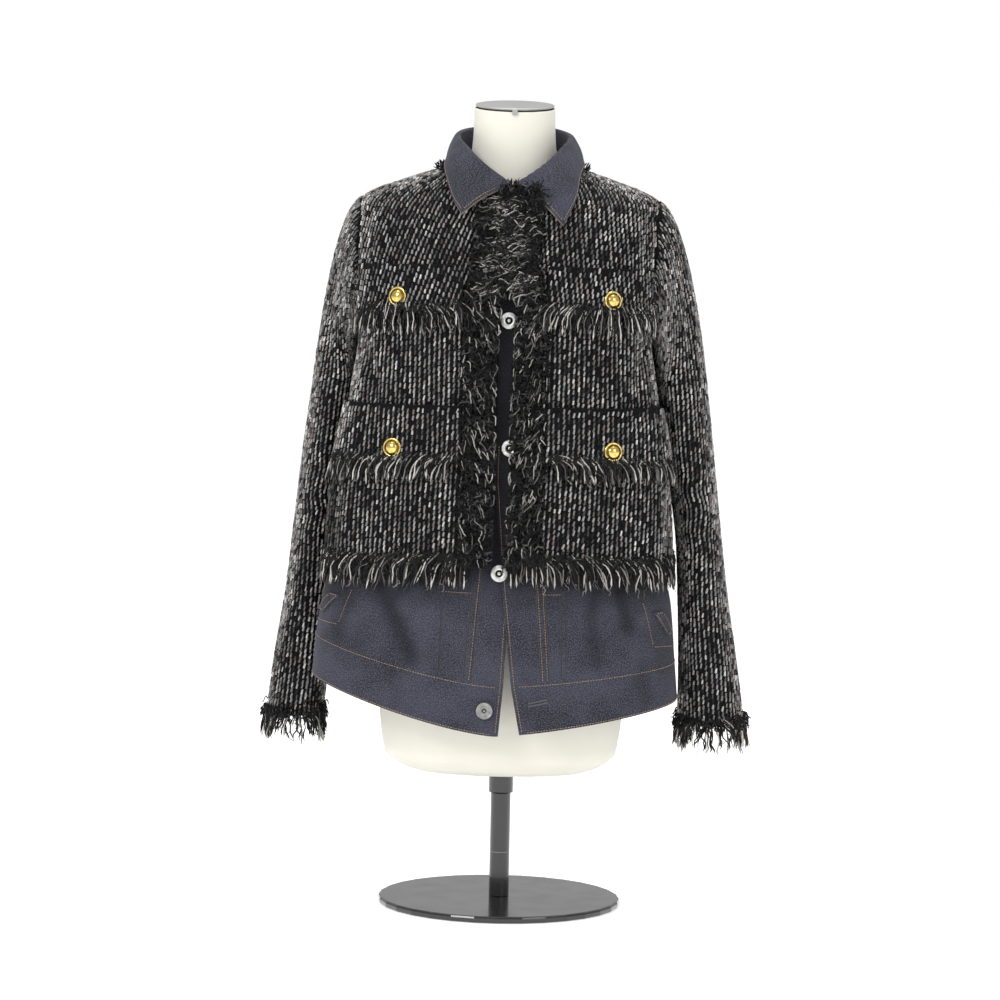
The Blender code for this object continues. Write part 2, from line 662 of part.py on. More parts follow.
def build_tweed_back():
    numbers = tweed_row_numbers()
    half = 8
    outer = np.zeros((len(numbers), 2 * half - 1, 3))
    inner = np.zeros_like(outer)
    for side in (1, -1):
        grid = np.zeros((len(numbers), half))
        for row, ring in enumerate(numbers):
            far = side_turn(TWEED_RINGS, ring, side, False, UNDERARM_RING, SHOULDER_RING, SEAM_GAP)
            grid[row] = np.linspace(far, 1.0, half)
        points, normals = panel(TWEED_RINGS, numbers, grid, side)
        within = points - normals * TWEED
        set_armhole_inner(points, within, numbers, 0, side, False)
        if side == 1:
            outer[:, :half] = points
            inner[:, :half] = within
        else:
            outer[:, half - 1:] = points[:, ::-1]
            inner[:, half - 1:] = within[:, ::-1]
    add_wall("tweed_back", outer, inner, "tweed")


def hang_from(points, outward_ways, length, flare, thickness, name):
    """A fringe solid that hangs below an edge and flares out."""
    levels = np.array([0.0, 0.5, 1.0])
    down = np.array([0, 0, -1.0])
    start = points + down * SEAM_GAP + outward_ways * HEM_LIFT
    growth = down * length + outward_ways * flare
    outer = np.array([start + growth * level for level in levels])
    within = outer - outward_ways * thickness
    add_wall(name, outer, within, "fringe")


def level_ways(normals):
    ways = normals.copy()
    ways[..., 2] = 0
    return unit(ways)


def build_hem_fringes():
    for side, word in ((1, "left"), (-1, "right")):
        near = turn_at(TWEED_RINGS, 0, side, FRONT_EDGE_LOW - HEM_FRINGE_OVERHANG)
        far = side_turn(TWEED_RINGS, 0, side, True, UNDERARM_RING, SHOULDER_RING, SEAM_GAP * 3)
        grid = np.linspace(near, far, 9)[None, :]
        points, normals = panel(TWEED_RINGS, [0.0], grid, side)
        ways = level_ways(normals[0])
        hang_from(points[0], ways, HEM_FRINGE, HEM_FLARE, FRINGE, f"hem_fringe_{word}")
    left = np.linspace(0.5 + HEM_FRINGE_SIDE_GAP, 1.0, 9)[None, :]
    points, normals = panel(TWEED_RINGS, [0.0], left, 1)
    others, other_normals = panel(TWEED_RINGS, [0.0], left[:, ::-1][:, 1:], -1)
    line = np.concatenate([points[0], others[0]])
    ways = level_ways(np.concatenate([normals[0], other_normals[0]]))
    hang_from(line, ways, HEM_FRINGE, HEM_FLARE, FRINGE, "hem_fringe_back")


def build_edge_fringes():
    """The fringed edges of the fronts lie on the tweed and reach toward the centre line."""
    numbers = list(range(NECK_RING))
    for side, word in ((1, "left"), (-1, "right")):
        grid = np.zeros((len(numbers), 4))
        for row, ring in enumerate(numbers):
            height = between_rows(TWEED_RINGS, ring)["z_front"]
            heights = (EDGE_FRINGE_OPEN, EDGE_FRINGE_CLOSED)
            inner = np.interp(height, heights, (EDGE_FRINGE_INNER_LOW, EDGE_FRINGE_INNER_NECK))
            outer = EDGE_FRINGE_OUTER - np.interp(height, heights, (0, EDGE_FRINGE_NARROWING))
            near = turn_at(TWEED_RINGS, ring, side, inner)
            far = turn_at(TWEED_RINGS, ring, side, outer)
            grid[row] = np.linspace(near, far, 4)
        points, normals = panel(TWEED_RINGS, numbers, grid, side, EDGE_FRINGE_LIFT)
        add_wall(f"edge_fringe_{word}", points + normals * FRINGE, points, "fringe")


def build_flaps():
    for side, word in ((1, "left"), (-1, "right")):
        for values in FLAPS:
            flap = dict(zip(FLAP_COLUMNS, values))
            top = ring_at_height(TWEED_RINGS, flap["z_top"])
            bottom = ring_at_height(TWEED_RINGS, flap["z_bottom"])
            foot = ring_at_height(TWEED_RINGS, flap["z_bottom"] - FLAP_FRINGE)
            label = f"{flap['name']}_{word}"
            rows = np.linspace(top, bottom, FLAP_ROWS)
            grid = np.array([flap_turns(ring, flap["inner"], flap["outer"]) for ring in rows])
            lifts = np.linspace(FLAP_LIFT_TOP, FLAP_LIFT_BOTTOM, FLAP_ROWS)[:, None]
            points, normals = panel(TWEED_RINGS, rows, grid, side, lifts)
            add_wall(f"flap_{label}", points + normals * TWEED, points, "tweed")
            rows = np.linspace(bottom - FLAP_FRINGE_GAP, foot, 3)
            outer = flap["outer"] + FLAP_SIDE_FRINGE
            grid = np.array([flap_turns(ring, flap["inner"], outer) for ring in rows])
            lifts = np.linspace(FLAP_LIFT_BOTTOM, FLAP_LIFT_BOTTOM + FLAP_FRINGE_FLARE, 3)[:, None]
            points, normals = panel(TWEED_RINGS, rows, grid, side, lifts)
            add_wall(f"flap_fringe_{label}", points + normals * FLAP_FRINGE_THICKNESS, points, "fringe")
            rows = np.linspace(top, bottom, FLAP_ROWS)
            beyond = np.array([SEAM_GAP, FLAP_SIDE_FRINGE])
            grid = np.array([cloth_turn(TWEED_RINGS, ring, flap["outer"] + beyond) for ring in rows])
            lifts = np.linspace(FLAP_LIFT_TOP, FLAP_LIFT_BOTTOM, FLAP_ROWS)[:, None]
            points, normals = panel(TWEED_RINGS, rows, grid, side, lifts)
            outer = points + normals * FLAP_SIDE_FRINGE_THICKNESS
            add_wall(f"flap_side_fringe_{label}", outer, points, "fringe")


def flap_turns(ring, start, end):
    ends = cloth_turn(TWEED_RINGS, ring, np.array([start, end]))
    return np.linspace(ends[0], ends[1], FLAP_COLUMNS_OF_POINTS)


def turned_button(name, profile, radius, place, facing, material):
    """A button turned about its own axis, its back a fraction of a millimetre off the cloth."""
    shape = bmesh.new()
    centre = np.asarray(place, float)
    facing = unit(np.asarray(facing, float))
    across = unit(np.cross(facing, np.array([0, 0, 1.0])))
    up = np.cross(across, facing)
    rings = []
    for share, height in profile:
        if share == 0:
            rings.append([shape.verts.new(centre + facing * height)])
            continue
        ring = []
        for step in range(BUTTON_SIDES):
            angle = 2 * math.pi * step / BUTTON_SIDES
            around = across * math.cos(angle) + up * math.sin(angle)
            ring.append(shape.verts.new(centre + around * radius * share + facing * height))
        rings.append(ring)
    for low, high in zip(rings, rings[1:]):
        for step in range(BUTTON_SIDES):
            after = (step + 1) % BUTTON_SIDES
            if len(high) == 1:
                shape.faces.new([low[step], low[after], high[0]])
            else:
                shape.faces.new([low[step], low[after], high[after], high[step]])
    shape.faces.new(list(reversed(rings[0])))
    bmesh.ops.recalc_face_normals(shape, faces=shape.faces)
    mesh = bpy.data.meshes.new(name)
    shape.to_mesh(mesh)
    shape.free()
    mesh.materials.append(finish(material))
    mesh.shade_smooth()
    mesh.set_sharp_from_angle(angle=math.radians(50))
    bpy.context.scene.collection.objects.link(bpy.data.objects.new(name, mesh))


def surface_button(rings, height, x_from_middle, side):
    ring = ring_at_height(rings, height)
    turn = turn_at(rings, ring, side, x_from_middle)
    return surface(rings, ring, turn, side), outward(rings, ring, turn, side)


def add_silver_button(name, place, facing):
    lifted = place + facing * SILVER_GAP
    turned_button(name, SILVER_PROFILE, SILVER_RADIUS, lifted, facing, "silver")


def build_buttons():
    for side, word in ((1, "left"), (-1, "right")):
        for values in FLAPS:
            flap = dict(zip(FLAP_COLUMNS, values))
            place, facing = surface_button(TWEED_RINGS, flap["button_z"], flap["button_x"], side)
            share = (flap["z_top"] - flap["button_z"]) / (flap["z_top"] - flap["z_bottom"])
            flap_lift = FLAP_LIFT_TOP + (FLAP_LIFT_BOTTOM - FLAP_LIFT_TOP) * share
            lift = flap_lift + TWEED + GOLD_SHANK_GAP
            name = f"gold_button_{flap['name']}_{word}"
            turned_button(name, GOLD_PROFILE, GOLD_RADIUS, place + facing * lift, facing, "gold")
    for word, height, x in SILVER_HEIGHTS:
        place, facing = surface_button(DENIM_RINGS, height, x, 1)
        add_silver_button(f"silver_button_{word}", place, facing)
    x, height = WAIST_BUTTON
    shift = dict(zip(TORSO_COLUMNS, SKIRT_RINGS[0]))["shift"]
    place, facing = surface_button(DENIM_RINGS, height, abs(x - shift), -1)
    add_silver_button("silver_button_waist", place, facing)


def denim_line_turn(ring, side, places):
    """The turn of a line down a denim front, given by height. It may lie past the centre line."""
    row = between_rows(DENIM_RINGS, ring)
    x = float(np.interp(row["z_front"], DENIM_HEIGHTS, places))
    distance = side * (x - row["shift"])
    if distance < 0:
        return -turn_at(DENIM_RINGS, ring, -side, -distance)
    return turn_at(DENIM_RINGS, ring, side, distance)


def denim_tuck(turns, side):
    """The under front lies a little inside the over front near the middle."""
    if side == 1:
        return np.zeros_like(turns)
    reach = cloth_turn(DENIM_RINGS, DENIM_TWEED_HEM, DENIM_TUCK_WIDTH)
    share = np.clip(1 - (turns - reach * DENIM_TUCK_START) / reach, 0, 1)
    return -DENIM_TUCK * share * share * (3 - 2 * share)


def denim_wall(name, numbers, grid, side):
    lifts = denim_tuck(grid, side)
    outer, normals = panel(DENIM_RINGS, numbers, grid, side, lifts)
    add_wall(name, outer, outer - normals * DENIM, "denim")


def denim_row_numbers():
    return [1.0 + BAND_SEAM] + [float(ring) for ring in range(2, DENIM_NECK_RING + 1)]


def denim_far_turn(ring, side, front):
    """The denim's armhole is a little larger than the tweed's."""
    low = UNDERARM_RING + DENIM_TWEED_HEM - DENIM_ARMHOLE_DEEPER
    high = SHOULDER_RING + DENIM_TWEED_HEM + DENIM_ARMHOLE_DEEPER
    width = ARMHOLE_WIDTH + DENIM_ARMHOLE_WIDER
    return side_turn(DENIM_RINGS, ring, side, front, low, high, SEAM_GAP * 2, width)


def denim_front_turns(ring, side):
    """Turns of the centre panel's columns and of the side panel's columns on one ring."""
    near = denim_line_turn(ring, side, DENIM_EDGES[side])
    seam = denim_line_turn(ring, side, DENIM_SEAMS[side])
    gap = cloth_turn(DENIM_RINGS, ring, SEAM_GAP * 1.5)
    centre = np.linspace(near, seam - gap / 2, 4)
    flank = np.linspace(seam + gap / 2, denim_far_turn(ring, side, True), 7)
    return centre, flank


def build_denim_fronts():
    numbers = denim_row_numbers()
    for side, word in ((1, "left"), (-1, "right")):
        turns = [denim_front_turns(ring, side) for ring in numbers]
        centre = np.array([row[0] for row in turns])
        flank = np.array([row[1] for row in turns])
        denim_wall(f"denim_front_centre_{word}", numbers, centre, side)
        denim_wall(f"denim_front_side_{word}", numbers, flank, side)
        turns = [denim_front_turns(ring, side) for ring in BAND_ROWS]
        band = np.array([np.concatenate([row[0], row[1][1:]]) for row in turns])
        denim_wall(f"denim_band_{word}", BAND_ROWS, band, side)


def build_denim_back():
    for name, numbers in (("denim_back", denim_row_numbers()), ("denim_band_back", BAND_ROWS)):
        half = 7
        outer = np.zeros((len(numbers), 2 * half - 1, 3))
        inner = np.zeros_like(outer)
        for side in (1, -1):
            starts = [denim_far_turn(ring, side, False) for ring in numbers]
            grid = np.array([np.linspace(start, 1.0, half) for start in starts])
            points, normals = panel(DENIM_RINGS, numbers, grid, side)
            within = points - normals * DENIM
            if side == 1:
                outer[:, :half] = points
                inner[:, :half] = within
            else:
                outer[:, half - 1:] = points[:, ::-1]
                inner[:, half - 1:] = within[:, ::-1]
        if name == "denim_band_back":
            add_wall(name, outer, inner, "denim")
            continue
        near, far = DENIM_BACK_SEAMS
        parts = (("side_left", 0, near), ("centre", near, far), ("side_right", far, 2 * half - 2))
        for piece, first, last in parts:
            outer_part = seamed_part(outer, first, last)
            inner_part = seamed_part(inner, first, last)
            add_wall(f"{name}_{piece}", outer_part, inner_part, "denim")


def build_welts():
    """The welt of each slanting side pocket lies on the denim front."""
    for side, word in ((1, "left"), (-1, "right")):
        ends = []
        for turn, height in (WELT_FOOT, WELT_HEAD):
            ring = ring_at_height(DENIM_RINGS, height)
            width = cloth_turn(DENIM_RINGS, ring, WELT_WIDTH)
            ends.append((ring, turn - width / 2, turn + width / 2))
        foot, head = ends
        numbers = np.linspace(foot[0], head[0], 4)
        near = np.linspace(foot[1], head[1], 4)
        far = np.linspace(foot[2], head[2], 4)
        grid = np.linspace(near, far, 3, axis=1)
        points, normals = panel(DENIM_RINGS, numbers, grid, side, WELT_LIFT)
        add_wall(f"pocket_welt_{word}", points + normals * DENIM, points, "denim")


def collar_profile(station, side):
    """Middle line of the collar's cloth at one station: up the stand, over the fold, down the leaf."""
    row = dict(zip(COLLAR_COLUMNS, station))
    drop = COLLAR_TIP_DROP[side] * max(1 - row["turn"] / 0.3, 0)
    neck = surface(DENIM_RINGS, DENIM_NECK_RING, row["turn"], side)
    normal = outward(DENIM_RINGS, DENIM_NECK_RING, row["turn"], side)
    foot = neck - normal * DENIM / 2 + np.array([0, 0, COLLAR_SEAM_GAP])
    fold = np.array([side * row["fold_x"], row["fold_y"], row["fold_z"]])
    edge = np.array([side * row["edge_x"], row["edge_y"], row["edge_z"] - drop])
    fall = edge - fold
    level = unit(np.array([fall[0], fall[1], 0.0]))
    radius = COLLAR_FOLD_RADIUS
    top = np.array([0, 0, 1.0])
    bulge = unit(np.cross(np.cross(unit(fall), top), unit(fall)))
    sign = 1 if bulge @ top > 0 else -1
    return np.array([
        foot,
        foot * 0.45 + fold * 0.55 - level * radius,
        fold - level * radius - top * radius * 0.8,
        fold - level * radius * 0.5,
        fold + level * radius * 0.6,
        fold + level * radius * 1.3 - top * radius * 0.9,
        fold * 0.45 + edge * 0.55 + bulge * sign * COLLAR_BULGE,
        edge,
    ])


def build_collar():
    steps = np.linspace(0, len(COLLAR_STATIONS) - 1, COLLAR_STEPS)
    between = [smooth_row(COLLAR_STATIONS, step) for step in steps]
    stations = [collar_profile(station, 1) for station in between]
    others = [collar_profile(station, -1) for station in reversed(between[:-1])]
    middle = np.array(stations + others)
    along = np.gradient(middle, axis=1)
    around = np.gradient(middle, axis=0)
    normals = unit(np.cross(around, along))
    half_cloth = normals * COLLAR_CLOTH / 2
    add_wall("denim_collar", middle + half_cloth, middle - half_cloth, "denim")


def lofted_solid(name, rings, numbers, columns, material):
    """A closed solid through whole rings, with flat caps fanned from their middles."""
    loops = []
    for ring in numbers:
        right = [surface(rings, ring, turn, 1) for turn in np.linspace(0, 1, columns)]
        left = [surface(rings, ring, turn, -1) for turn in np.linspace(1, 0, columns)[1:-1]]
        loops.append(np.array(right + left))
    count = len(loops[0])
    points = np.concatenate(loops + [[loops[0].mean(axis=0)], [loops[-1].mean(axis=0)]])
    foot = len(points) - 2
    head = len(points) - 1
    top = (len(loops) - 1) * count
    faces = []
    for column in range(count):
        after = (column + 1) % count
        faces.append((after, column, foot))
        faces.append((top + column, top + after, head))
        for low in range(0, top, count):
            high = low + count
            faces.append((low + column, low + after, high + after, high + column))
    add_object(name, points, faces, material)


def build_form():
    numbers = list(range(len(FORM_RINGS)))
    lofted_solid("form_torso", FORM_RINGS, numbers, FORM_POINTS, "form_cover")
    lofted_solid("neck_cap", CAP_RINGS, range(len(CAP_RINGS)), FORM_POINTS, "cap_metal")
    wide, deep, tall = CAP_TAB
    front = surface(CAP_RINGS, CAP_TAB_RING, 0, 1)
    x, y, z = front + np.array([0, -deep / 2 - SEAM_GAP * 2, -CAP_TAB_DROP])
    bpy.ops.mesh.primitive_cube_add(size=1, location=(x, y, z), scale=(wide, deep, tall))
    tab = bpy.context.object
    tab.name = "cap_tab"
    tab.data.materials.append(finish("cap_metal"))


def add_round(name, radius, low, high, bevel):
    bpy.ops.mesh.primitive_cylinder_add(
        vertices=ROUND_SIDES, radius=radius, depth=high - low, location=(0, 0, (low + high) / 2)
    )
    made = bpy.context.object
    made.name = name
    made.data.materials.append(finish("black_gloss"))
    rounding = made.modifiers.new("edge", "BEVEL")
    rounding.width = bevel
    rounding.segments = 2
    rounding.limit_method = "ANGLE"
    rounding.angle_limit = math.radians(50)
    made.data.shade_smooth()
    made.data.set_sharp_from_angle(angle=math.radians(40))


def build_stand():
    pole_foot = BASE_THICKNESS + SEAM_GAP
    pole_top = POLE_COLLAR_FOOT - SEAM_GAP
    collar_top = FORM_FOOT - SEAM_GAP
    add_round("base_plate", BASE_RADIUS, 0.0, BASE_THICKNESS, BASE_BEVEL)
    add_round("pole", POLE_RADIUS, pole_foot, pole_top, POLE_BEVEL)
    add_round("pole_collar", POLE_COLLAR_RADIUS, POLE_COLLAR_FOOT, collar_top, POLE_COLLAR_BEVEL)


start_clean()
for side, word in ((1, "left"), (-1, "right")):
    build_tweed_front(side, word)
    build_sleeve(side, word)
build_tweed_back()
build_hem_fringes()
build_edge_fringes()
build_flaps()
build_denim_fronts()
build_denim_back()
build_welts()
build_collar()
build_buttons()
build_form()
build_stand()
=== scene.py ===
import math

import bpy
import numpy as np
from mathutils import Matrix, Vector


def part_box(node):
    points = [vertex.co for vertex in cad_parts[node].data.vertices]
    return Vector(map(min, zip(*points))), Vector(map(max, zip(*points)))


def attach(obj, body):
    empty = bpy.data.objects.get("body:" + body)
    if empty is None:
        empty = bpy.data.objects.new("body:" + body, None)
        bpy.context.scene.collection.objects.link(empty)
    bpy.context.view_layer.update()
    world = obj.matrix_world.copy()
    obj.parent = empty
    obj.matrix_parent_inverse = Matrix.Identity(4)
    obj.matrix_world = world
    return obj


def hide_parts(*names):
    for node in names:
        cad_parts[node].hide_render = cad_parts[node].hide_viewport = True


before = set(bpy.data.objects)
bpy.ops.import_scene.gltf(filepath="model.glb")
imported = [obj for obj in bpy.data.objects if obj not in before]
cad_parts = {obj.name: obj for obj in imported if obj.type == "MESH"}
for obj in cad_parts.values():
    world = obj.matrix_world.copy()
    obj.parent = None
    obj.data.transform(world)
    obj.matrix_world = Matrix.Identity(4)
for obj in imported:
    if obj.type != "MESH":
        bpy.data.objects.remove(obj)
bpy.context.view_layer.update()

bpy.ops.object.select_all(action="DESELECT")


# ---- Base plate, pole and pole collar ----
# A turned steel plate, a steel tube and a short socket that takes the dress form, all enamelled
# gloss black. The tube stands in the plate and the socket is pushed over the tube's top.
ENAMEL = (0.007, 0.007, 0.008, 1.0)
ENAMEL_WORN = (0.020, 0.020, 0.022, 1.0)
BARE_METAL = 0.3
SCUFF_HEIGHT = 0.060  # a ring worn pale by a clamp
SCUFF_HALF = 0.0009
SCUFF_STRENGTH = 0.55


def grey(level):
    return (level, level, level, 1.0)


def connect(material, made, inputs):
    """Sets each named socket to a value, or links it from another node's socket."""
    for socket, value in inputs.items():
        if isinstance(value, bpy.types.NodeSocket):
            material.node_tree.links.new(value, made.inputs[socket])
        else:
            made.inputs[socket].default_value = value


def add_node(material, kind, inputs=None, **settings):
    made = material.node_tree.nodes.new(kind)
    for setting, value in settings.items():
        setattr(made, setting, value)
    connect(material, made, inputs or {})
    return made


def add_ramp(material, factor, stops):
    """A colour ramp through (place, colour) stops."""
    made = add_node(material, "ShaderNodeValToRGB", {"Fac": factor})
    elements = made.color_ramp.elements
    while len(elements) < len(stops):
        elements.new(0.5)
    for element, (place, colour) in zip(elements, stops):
        element.position = place
        element.color = colour
    return made.outputs["Color"]


def shade(material, inputs):
    """Sets or links the sockets of a material's own shader."""
    connect(material, material.node_tree.nodes["Principled BSDF"], inputs)


def new_finish(name, inputs):
    material = bpy.data.materials.new(name)
    material.use_nodes = True
    shade(material, inputs)
    return material


def object_place(material):
    return add_node(material, "ShaderNodeTexCoord").outputs["Object"]


def noise(material, vector, scale, detail=2.0, roughness=0.5):
    inputs = {"Vector": vector, "Scale": scale, "Detail": detail, "Roughness": roughness}
    return add_node(material, "ShaderNodeTexNoise", inputs).outputs["Fac"]


def math_node(material, operation, *values):
    return add_node(material, "ShaderNodeMath", dict(enumerate(values)), operation=operation).outputs[0]


def z_height(material, place):
    return add_node(material, "ShaderNodeSeparateXYZ", {"Vector": place}).outputs["Z"]


def bump(material, height, distance, strength=1.0, normal=None):
    inputs = {"Height": height, "Distance": distance, "Strength": strength}
    if normal is not None:
        inputs["Normal"] = normal
    return add_node(material, "ShaderNodeBump", inputs).outputs["Normal"]


def wear(obj, material):
    """Gives an object that one material."""
    obj.data.materials.clear()
    obj.data.materials.append(material)


enamel = new_finish("gloss_enamel", {"Coat Weight": 0.6, "Coat Roughness": 0.06})
place = object_place(enamel)
from_scuff = math_node(enamel, "SUBTRACT", z_height(enamel, place), SCUFF_HEIGHT)
on_scuff = add_node(enamel, "ShaderNodeMapRange", {
    "Value": math_node(enamel, "ABSOLUTE", from_scuff), "From Min": SCUFF_HALF, "From Max": 0.0,
    "To Min": 0.0, "To Max": SCUFF_STRENGTH,
}).outputs[0]
patchy = math_node(enamel, "MULTIPLY", on_scuff, noise(enamel, place, 240.0))
cloudy = noise(enamel, place, 30.0, 4.0)
scuffed = [(0.0, ENAMEL), (0.10, ENAMEL_WORN), (0.35, grey(BARE_METAL))]
shade(enamel, {
    "Base Color": add_ramp(enamel, patchy, scuffed),
    "Roughness": add_ramp(enamel, cloudy, [(0.35, grey(0.16)), (0.7, grey(0.26))]),
    "Normal": bump(enamel, noise(enamel, place, 700.0), 0.00004),
})
for name in ("base_plate", "pole", "pole_collar"):
    wear(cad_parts[name], enamel)


# ---- Dress form and neck cap ----
# A limbless form moulded in foam under a stretched ivory jersey cover, gathered under its foot.
# The cover ends in a rolled lip round the neck, and a pressed metal cap sits in that lip, held
# by a small bent tab in front. The neck is cut on a slant, higher at the back.
COVER_COLOUR = (0.800, 0.775, 0.690, 1.0)
COVER_SHADE = (0.735, 0.708, 0.625, 1.0)
CAP_TOP = (0.40, 0.40, 0.395, 1.0)
CAP_TOP_DULL = (0.34, 0.34, 0.335, 1.0)
FORM_SMOOTHING = 2
SEAM_CREASE = 0.80
SHARP_FROM = 32  # edges bent by more degrees than this keep their shape when rounded
PAIRED_UP_TO = 60
SMOOTH_UP_TO = 40
TURNED_SMOOTH_UP_TO = 50
NECK_CUT = 0.911  # height of the neck's slanting cut at the form's axis
NECK_SLANT = 0.1075  # its rise for each metre toward the back
NECK_FROM = 0.890  # only the neck's top stands above this
LIP_RISE = 0.0062
LIP_WIDTH = 0.0011
LIP_DEPTH = 0.0050
CAP_RADIUS = 0.0450
CAP_PROFILE = (
    (0.900, 0.0020), (0.960, 0.0022), (0.975, 0.0078), (1.000, 0.0086), (1.004, 0.0093),
    (0.990, 0.0100), (0.950, 0.0104), (0.800, 0.0106), (0.400, 0.0108), (0.050, 0.0109),
)  # share of the radius, height above the cut
# Below this height the cap's rim is painted near black, as painted shadow under its edge
CAP_SHADOW_BELOW = 0.0080
CAP_SIDES = 64
TAB_HALF = 0.0030
TAB_LINE = (  # distance in front of the axis, height above the cut there
    (0.0430, 0.0110), (0.0452, 0.0108), (0.0470, 0.0094), (0.0479, 0.0066), (0.0481, 0.0030),
)
TAB_METAL = 0.0007


def put_in(name, data):
    """A new object in the scene, with that mesh, lamp or camera."""
    made = bpy.data.objects.new(name, data)
    bpy.context.scene.collection.objects.link(made)
    return made


def merged_copy(node_name, name):
    """A copy of a CAD node's mesh, its doubles merged and its triangles paired into quads."""
    made = put_in(name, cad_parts[node_name].data.copy())
    bpy.context.view_layer.objects.active = made
    made.select_set(True)
    bpy.ops.object.mode_set(mode="EDIT")
    bpy.ops.mesh.select_all(action="SELECT")
    bpy.ops.mesh.remove_doubles(threshold=0.00002)
    limit = math.radians(PAIRED_UP_TO)
    bpy.ops.mesh.tris_convert_to_quads(face_threshold=limit, shape_threshold=limit)
    bpy.ops.mesh.select_all(action="DESELECT")
    bpy.ops.object.mode_set(mode="OBJECT")
    return made


def round_off(made, levels):
    """Creases the sharp edges and subdivides the rest smooth."""
    bpy.ops.object.mode_set(mode="EDIT")
    bpy.ops.mesh.select_all(action="DESELECT")
    bpy.ops.mesh.select_mode(type="EDGE")
    bpy.ops.mesh.edges_select_sharp(sharpness=math.radians(SHARP_FROM))
    bpy.ops.transform.edge_crease(value=SEAM_CREASE)
    bpy.ops.mesh.select_mode(type="FACE")
    bpy.ops.object.mode_set(mode="OBJECT")
    rounding = made.modifiers.new("rounding", "SUBSURF")
    rounding.levels = levels
    rounding.render_levels = levels
    bpy.ops.object.modifier_apply(modifier=rounding.name)
    bpy.ops.object.shade_smooth_by_angle(angle=math.radians(SMOOTH_UP_TO))
    made.select_set(False)


def settle(obj, slot, *node_names):
    """Rides the piece on the root and hides the CAD nodes, if any, that it stands for. Its slot is not
    used.
    """
    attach(obj, "root")
    if node_names:
        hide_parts(*node_names)


def turned_disc(name, radius, profile, sides):
    """A disc shaped as on a lathe: each step of its profile is an extruded and scaled ring."""
    share, height = profile[0]
    bpy.ops.object.select_all(action="DESELECT")
    bpy.ops.mesh.primitive_circle_add(
        vertices=sides, radius=radius * share, fill_type="NGON", location=(0, 0, height)
    )
    made = bpy.context.object
    made.name = name
    bpy.ops.object.transform_apply(location=True, rotation=True, scale=True)
    bpy.ops.object.mode_set(mode="EDIT")
    bpy.ops.mesh.select_all(action="SELECT")
    for next_share, next_height in profile[1:]:
        bpy.ops.mesh.extrude_region_move(TRANSFORM_OT_translate={"value": (0, 0, next_height - height)})
        grow = next_share / share
        bpy.ops.transform.resize(value=(grow, grow, 1), center_override=(0, 0, next_height))
        share, height = next_share, next_height
    bpy.ops.mesh.select_all(action="SELECT")
    bpy.ops.mesh.normals_make_consistent(inside=False)
    bpy.ops.object.mode_set(mode="OBJECT")
    bpy.ops.object.shade_smooth_by_angle(angle=math.radians(TURNED_SMOOTH_UP_TO))
    made.select_set(False)
    return made


def darken_between(made, material, low_radius, high_radius, below=math.inf):
    """Gives a second material to a turned disc's faces between two radii and below a height."""
    made.data.materials.append(material)
    for face in made.data.polygons:
        radius = math.hypot(face.center.x, face.center.y)
        if low_radius < radius < high_radius and face.center.z < below:
            face.material_index = 1


cover = new_finish("form_jersey", {"Roughness": 0.82, "Sheen Weight": 0.25, "Sheen Roughness": 0.5})
place = object_place(cover)
knit = add_node(cover, "ShaderNodeTexVoronoi", {"Vector": place, "Scale": 900.0}).outputs["Distance"]
slack = noise(cover, place, 14.0, 2.0)
clouds = noise(cover, place, 9.0, 3.0)
shade(cover, {
    "Base Color": add_ramp(cover, clouds, [(0.35, COVER_SHADE), (0.65, COVER_COLOUR)]),
    "Normal": bump(cover, knit, 0.00012, 0.6, bump(cover, slack, 0.004, 0.35)),
})
form = merged_copy("form_torso", "form_cover")
for vertex in form.data.vertices:
    if vertex.co.z > NECK_FROM:
        vertex.co.z = NECK_CUT + NECK_SLANT * vertex.co.y
for face in form.data.polygons:
    face.select = face.center.z > NECK_FROM and face.normal.z > 0.8
bpy.ops.object.mode_set(mode="EDIT")
bpy.ops.mesh.select_mode(type="FACE")
bpy.ops.mesh.extrude_region_move(TRANSFORM_OT_translate={"value": (0, 0, LIP_RISE)})
bpy.ops.mesh.inset(thickness=LIP_WIDTH)
bpy.ops.mesh.extrude_region_move(TRANSFORM_OT_translate={"value": (0, 0, -LIP_DEPTH)})
bpy.ops.object.mode_set(mode="OBJECT")
round_off(form, FORM_SMOOTHING)
wear(form, cover)
settle(form, "form_cover", "form_torso")

cap_finish = new_finish("cap_satin", {"Metallic": 0.35, "Roughness": 0.42})
place = object_place(cap_finish)
clouds = noise(cap_finish, place, 20.0)
shade(cap_finish, {
    "Base Color": add_ramp(cap_finish, clouds, [(0.3, CAP_TOP_DULL), (0.7, CAP_TOP)]),
    "Normal": bump(cap_finish, noise(cap_finish, place, 500.0), 0.00004),
})
# Painted shadow: the lower side of the cap's rim is coloured near black
cap_rim_shadow = new_finish("cap_rim_painted_shadow", {"Roughness": 0.6})
clouds = noise(cap_rim_shadow, object_place(cap_rim_shadow), 90.0)
shade(cap_rim_shadow, {"Base Color": add_ramp(cap_rim_shadow, clouds, [(0.3, grey(0.004)), (0.7, grey(0.012))])})
cap = turned_disc("neck_cap_pressing", CAP_RADIUS, CAP_PROFILE, CAP_SIDES)
wear(cap, cap_finish)
darken_between(cap, cap_rim_shadow, 0.0, CAP_RADIUS * 2, CAP_SHADOW_BELOW)
tilt = Matrix.Rotation(math.atan(NECK_SLANT), 4, "X")
cap.data.transform(Matrix.Translation((0, 0, NECK_CUT)) @ tilt)
settle(cap, "cap_metal", "neck_cap")


